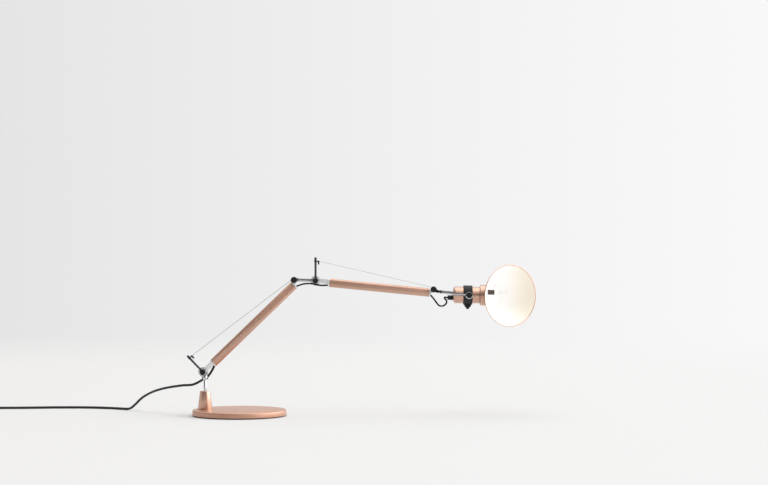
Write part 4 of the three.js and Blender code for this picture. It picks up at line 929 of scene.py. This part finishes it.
ceramic = grained("dark_ceramic", HOLDER_DARK, HOLDER_LIGHT, (0.42, 0.6), 600.0, 0.2)
holder = turned("ceramic_holder", [
    (7.0, 4.0), (7.0, 8.0), (HOLDER_RADIUS, 8.0), (HOLDER_RADIUS, HOLDER_WHITE), (HOLDER_RADIUS, 45.6),
    (4.1, 46.0), (3.3, 46.0), (3.3, 39.0),
], sides=48)
mount(holder, head_seat @ above @ ONTO_X, "head", ceramic, "holder", "lampholder", edge=0)
# The holder's part nearer the housing takes the white enamel, with its painted glow of the bulb's light
holder.data.materials.append(enamel_with_painted_glow)
white_to = (head_seat @ above @ Vector((HOLDER_WHITE * MM, 0, 0))).x
for face in holder.data.polygons:
    face.material_index = 1 if face.center.x < white_to else 0

quartz = grained("lit_quartz", (0.96, 0.95, 0.94, 1), (0.99, 0.985, 0.98, 1), (0.02, 0.08), 120.0, 0.02,
                 Transmission_Weight=1.0, IOR=1.25)
capsule = turned("quartz_capsule", [
    (3.0, 39.7), (3.0, 46.1), (4.3, 46.3), (GLASS_RADIUS, 47.1),
    *quarter_round(GLASS_RADIUS, GLASS_END, 3.0, 8), (1.0, 69.9), (0.5, 71.3),
], sides=40)
mount(capsule, head_seat @ above @ ONTO_X, "head", quartz, "bulb", "bulb", edge=0)

# Balance cables: thin steel rope, clamped in the block of a lever, runs along the arm, round the pulley at
# the far pivot and back through the fitting to the spring in the tube.
CABLE_RADIUS = 0.4
CABLE_TURN = 3.1
CABLE_START = (35.0, 0, -7.25)
CABLE_LINE = 2.0
ROPE_DARK = (0.30, 0.30, 0.31, 1)
ROPE_LIGHT = (0.52, 0.525, 0.53, 1)


def drawn(name, points, radius, sides=16):
    """A lead or a rope: a round section led along points in metres."""
    line = bpy.data.curves.new(name, "CURVE")
    line.dimensions = "3D"
    line.bevel_depth = radius * MM
    line.bevel_resolution = sides // 4 - 1
    line.use_fill_caps = True
    run = line.splines.new("POLY")
    run.points.add(len(points) - 1)
    for stop, point in zip(run.points, points):
        stop.co = (*point, 1)
    piece = bpy.data.objects.new(name, line)
    bpy.context.collection.objects.link(piece)
    take(piece)
    bpy.ops.object.convert(target="MESH")
    piece = bpy.context.object
    open_mesh()
    close_mesh(outward=True, merge=True)
    bpy.ops.object.shade_smooth_by_angle(angle=math.radians(50))
    return piece


rope = grained("steel_rope", ROPE_DARK, ROPE_LIGHT, (0.3, 0.42), 2200.0, 0.5, metallic=1.0)
for name, joint, bodies, spring_end in (("lower", "shoulder", ("post", "lower_arm"), 142.9),
                                        ("upper", "elbow", ("elbow", "upper_arm"), 127.9)):
    arm = arms[name]
    start = lever_seats[joint][1] @ (Vector(CABLE_START) * MM)
    local = arm["seat"].inverted() @ start / MM
    far = Vector((arm["pivot"], 0, PIVOT_RISE))
    toward = math.atan2(far.z - local.z, far.x - local.x)
    lean = toward + math.asin(CABLE_TURN / (far - local).length)
    first = far + CABLE_TURN * Vector((math.cos(math.pi / 2 + lean), 0, math.sin(math.pi / 2 + lean)))
    run = [local.lerp(first, step / 60) for step in range(60)]
    for step in range(25):
        angle = math.pi / 2 + lean - step / 24 * (math.pi + lean)
        run.append(far + CABLE_TURN * Vector((math.cos(angle), 0, math.sin(angle))))
    run.append(Vector((spring_end - 12.0, 0, CABLE_LINE)))
    cable = drawn(name + "_balance_cable", [arm["seat"] @ (point * MM) for point in run], CABLE_RADIUS, 8)
    cable.data.materials.append(rope)
    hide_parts(name + "_cable")
    arm["seat"] @ (local.lerp(first, 0.26) * MM)
    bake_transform(cable)

# Leads inside the arms: black round flex. The thick one rises from the clip to the lower tube, and a
# thinner one goes on under the elbow, hangs in a loop under the wrist and enters the gland of the head.
FLEX_RADIUS = 2.2
LEAD_RADIUS = 1.6
LEAD_DROP = 4.6
FLEX_DARK = (0.008, 0.008, 0.009, 1)
FLEX_LIGHT = (0.015, 0.015, 0.016, 1)
CLIP = Vector((-62.3, 7.85, 68.3))
CLIP_HEADING = Vector((-0.832, 0, -0.555))


def eased(points, spacing=1.5):
    """A smooth run through points in mm, with a point about every spacing."""
    ends = [2 * points[0] - points[1], *points, 2 * points[-1] - points[-2]]
    run = [points[0]]
    for before, start, end, after in zip(ends, ends[1:], ends[2:], ends[3:]):
        gaps = [max((b - a).length, 1e-6) ** 0.5 for a, b in ((before, start), (start, end), (end, after))]
        leave = ((start - before) / gaps[0] - (end - before) / (gaps[0] + gaps[1])
                 + (end - start) / gaps[1]) * gaps[1]
        arrive = ((end - start) / gaps[1] - (after - start) / (gaps[1] + gaps[2])
                  + (after - end) / gaps[2]) * gaps[1]
        count = max(2, round((end - start).length / spacing))
        for step in range(1, count + 1):
            t = step / count
            run.append(start + leave * t + (3 * (end - start) - 2 * leave - arrive) * t ** 2
                       + (2 * (start - end) + leave + arrive) * t ** 3)
    return run


def in_arm(name, along, below, depth=0.0):
    """A point in mm that keeps its place along an arm and below its axis."""
    return arms[name]["seat"] @ (Vector((along, depth, AXIS_DROP - below)) * MM) / MM


def in_head(along, above_axis):
    """A point in mm that keeps its place along the head."""
    return head_seat @ (Vector((along, 0, above_axis)) * MM) / MM


def plane(*points):
    """Points in mm in the plane of the arms, given as pairs of X and Z."""
    return [Vector((x, 0, z)) for x, z in points]


def lead(name, run, radius, node):
    """A lead between two bodies, in place of its plain piece."""
    piece = drawn(name, [point * MM for point in run], radius)
    piece.data.materials.append(flex)
    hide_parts(node)
    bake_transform(piece)


flex = grained("black_flex", FLEX_DARK, FLEX_LIGHT, (0.38, 0.5), 500.0, 0.1, Specular_IOR_Level=0.35)
clip_in = CLIP - CLIP_HEADING * 4.2
clip_near = CLIP - CLIP_HEADING * 0.15
into_arm = in_arm("lower", 23.5, 4.8)
shoulder_run = eased([
    in_arm("lower", 37.6, 4.1), in_arm("lower", 29, 4.1), into_arm,
    *[in_arm("lower", *stop) for stop in ((17, 6.8, 0.4), (11, 8.6, 2.2), (5, 9.9, 4.8), (0.5, 10.2, 6.9))],
    clip_in, clip_near])
lead("shoulder_lead", shoulder_run, FLEX_RADIUS, "shoulder_cord")

under_elbow = Vector((126, 0, 239.2))
tube_end = arms["lower"]["end"]
out_of_arm = in_arm("lower", tube_end + 2.5, LEAD_DROP)
lower_run = [in_arm("lower", 37.9, LEAD_DROP), *eased([
    in_arm("lower", tube_end - 12, LEAD_DROP), in_arm("lower", tube_end, LEAD_DROP), out_of_arm,
    *plane((105, 234.9), (109.5, 236.7), (117.5, 238.7)), under_elbow])]
lead("lower_elbow_lead", lower_run, LEAD_RADIUS,
     "elbow_cord_lower")
tube_end = arms["upper"]["end"]
into_arm = in_arm("upper", 23.1, LEAD_DROP)
upper_run = [*eased([
    *plane((126.3, 239.2), (131.5, 238.8), (137, 237.4), (146, 236.0), (154, 235.9)), into_arm,
    in_arm("upper", 37.6, LEAD_DROP)]), in_arm("upper", tube_end - 12.3, LEAD_DROP)]
lead("upper_elbow_lead", upper_run, LEAD_RADIUS,
     "elbow_cord_upper")

loop_foot = Vector((365.6, 0, 198.6))
out_of_arm = in_arm("upper", tube_end + 2.5, LEAD_DROP)
wrist_run = [*eased([
    in_arm("upper", tube_end - 12, LEAD_DROP), out_of_arm,
    *plane((347, 216.9), (351, 212.2), (355.7, 205.8), (360.2, 200.2), (363.4, 198.6))]), loop_foot]
lead("wrist_lead", wrist_run, LEAD_RADIUS, "wrist_cord")
at_gland = in_head(-38.7, -GLAND_DROP)
head_run = [*plane((365.9, 198.6)), *eased([
    *plane((367.9, 198.6), (372, 200.8), (374.6, 204.6), (374.6, 208.6), (371.6, 211.6), (370.9, 214.2)),
    at_gland, in_head(-28.5, -GLAND_DROP)])]
lead("head_lead", head_run, LEAD_RADIUS, "head_cord")

# Clip: a moulded black saddle that snaps round the back of the post's socket, with an eyelet that holds
# the mains lead where it turns up to the arm.
SADDLE = (4.45, 5.35)

saddle = turned("lead_clip", [(SADDLE[0], 66.0), (SADDLE[1], 66.0), (SADDLE[1], 70.6), (SADDLE[0], 70.6)],
                hollow=True)
set_down(saddle, at_swivel)
worked(saddle, "INTERSECT", block("half", (18, 9, 14), (SWIVEL_X, 4.5, 68.3)))
lean = math.degrees(math.atan2(CLIP_HEADING.z, -CLIP_HEADING.x))
at_clip = Matrix.Translation(CLIP * MM) @ Matrix.Rotation(math.radians(lean), 4, "Y")
eyelet = rod("eyelet", 3.7, -3.0, 3.0, at_clip @ ONTO_X)
worked(saddle, "UNION", eyelet)
worked(saddle, "DIFFERENCE", rod("drill", 2.5, -6, 6, at_clip @ ONTO_X),
       rod("drill", SADDLE[0], 60, 75, at_swivel), rod("relief", 9.3, 2.5, 7.0, at_shoulder @ ONTO_Y, 72))
mount(saddle, HERE, "post", plastic, "plastic", "cord_clip", edge=0.15)

# Plug: a moulded black two-pin mains plug with a ribbed, tapered sleeve that keeps the lead from breaking
# where it enters, and two nickel-plated pins.
PLUG_HALF_TALL = 6.8
PLUG_RELIEF = 24.0
PLUG_WIDTHS = (16.0, 13.0)
PIN_SIDE = 9.3
COIL_CENTRE = Vector((-510, 113.5, 0))
COIL_INNER = 17.7
COIL_PITCH = 4.9
COIL_TURNS = 7.25
COIL_STEPS = 48
ON_FLOOR = 2.35
coil_run = []
for step in range(round(COIL_TURNS * COIL_STEPS) + 1):
    turn = step / COIL_STEPS
    angle = math.pi / 2 + 2 * math.pi * turn
    radius = COIL_INNER + abs(turn - COIL_TURNS / 2) * COIL_PITCH
    climb = min(max((turn - COIL_TURNS / 2) * 2 + 0.5, 0), 1)
    coil_run.append(COIL_CENTRE + Vector((
        radius * math.cos(angle), radius * math.sin(angle), ON_FLOOR + climb * COIL_PITCH)))
plug_axis = PLUG_HALF_TALL + 0.15
coil_end = Vector((coil_run[-1].x, coil_run[-1].y - 30, plug_axis))
at_plug = Matrix.Translation(Vector((coil_end.x, coil_end.y - 0.3, plug_axis)) * MM) @ ONTO_FRONT

bpy.ops.mesh.primitive_plane_add(size=2 * PLUG_HALF_TALL * MM, location=(0, 0, PLUG_RELIEF * MM))
plug = bpy.context.object
plug.name = "plug_body"
open_mesh()
extruded(0, 0, 15.3)
resized(PLUG_WIDTHS[0] / PLUG_HALF_TALL, 1, 1)
extruded(0, 0, 18.7)
resized(PLUG_WIDTHS[1] / PLUG_WIDTHS[0], 1, 1)
close_mesh(outward=True)
mount(plug, at_plug, "base", plastic, "plastic", "mains_plug", edge=2.2, segments=6)
sleeve_outline = [(2.5, 0)]
for rib in range(7):
    foot = 0.6 + rib * 3.2
    grown = 2.7 + 0.2 * rib
    sleeve_outline += [(grown, foot), (grown + 0.25, foot + 1.9), (grown - 0.35, foot + 2.1),
                       (grown - 0.3, foot + 2.8)]
sleeve = turned("plug_sleeve", [*sleeve_outline, (4.2, PLUG_RELIEF), (4.2, PLUG_RELIEF + 1)], sides=40)
mount(sleeve, at_plug, "base", plastic, "plastic", "mains_plug")
for side, label in ((-1, "left"), (1, "right")):
    pin = turned("plug_pin_" + label, [(2.0, 56.0), (2.0, 75.4), (1.8, 76.3), (1.2, 76.9), (0.5, 77.0)],
                 sides=32)
    set_down(pin, shift(side * PIN_SIDE, 0, 0))
    mount(pin, at_plug, "base", polished, "plastic", "mains_plug", edge=0)

# Mains lead: black round flex, 1.75 m from the clip to the plug. It comes down from the clip in an easy
# curve, lies on the floor to the left, and what the photograph doesn't show is wound in a flat coil.
in_air = ((-77.5, 10, 58.9), (-86.7, 14, 55.2), (-104.3, 24, 53.4), (-125.1, 39, 49.8), (-146.3, 57, 44.7),
          (-167.8, 77, 36.8), (-188.5, 99, 24.5), (-203, 112, 11), (-213, 119.5, 3.6))
lying = ((-229, 131), (-250, 144), (-278, 155), (-315, 161), (-360, 160), (-410, 153), (-455, 148.96),
         (-490, 148.96))
free_points = [CLIP + CLIP_HEADING * 0.15, CLIP + CLIP_HEADING * 6, *[Vector(stop) for stop in in_air],
               *[Vector((x, y, ON_FLOOR)) for x, y in lying]]
tail = [Vector((coil_run[-1].x, coil_run[-1].y - 15, plug_axis)), coil_end]
mains_run = eased(free_points, 3.0) + coil_run + eased([coil_run[-1], *tail], 3.0)[1:]
mains_path = [point * MM for point in mains_run]
mains = drawn("mains_lead", mains_path, FLEX_RADIUS)
mains.data.materials.append(flex)
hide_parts("mains_cord", "mains_cord_coil")
mains_length = sum((end - start).length for start, end in zip(mains_path, mains_path[1:]))
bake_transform(mains)
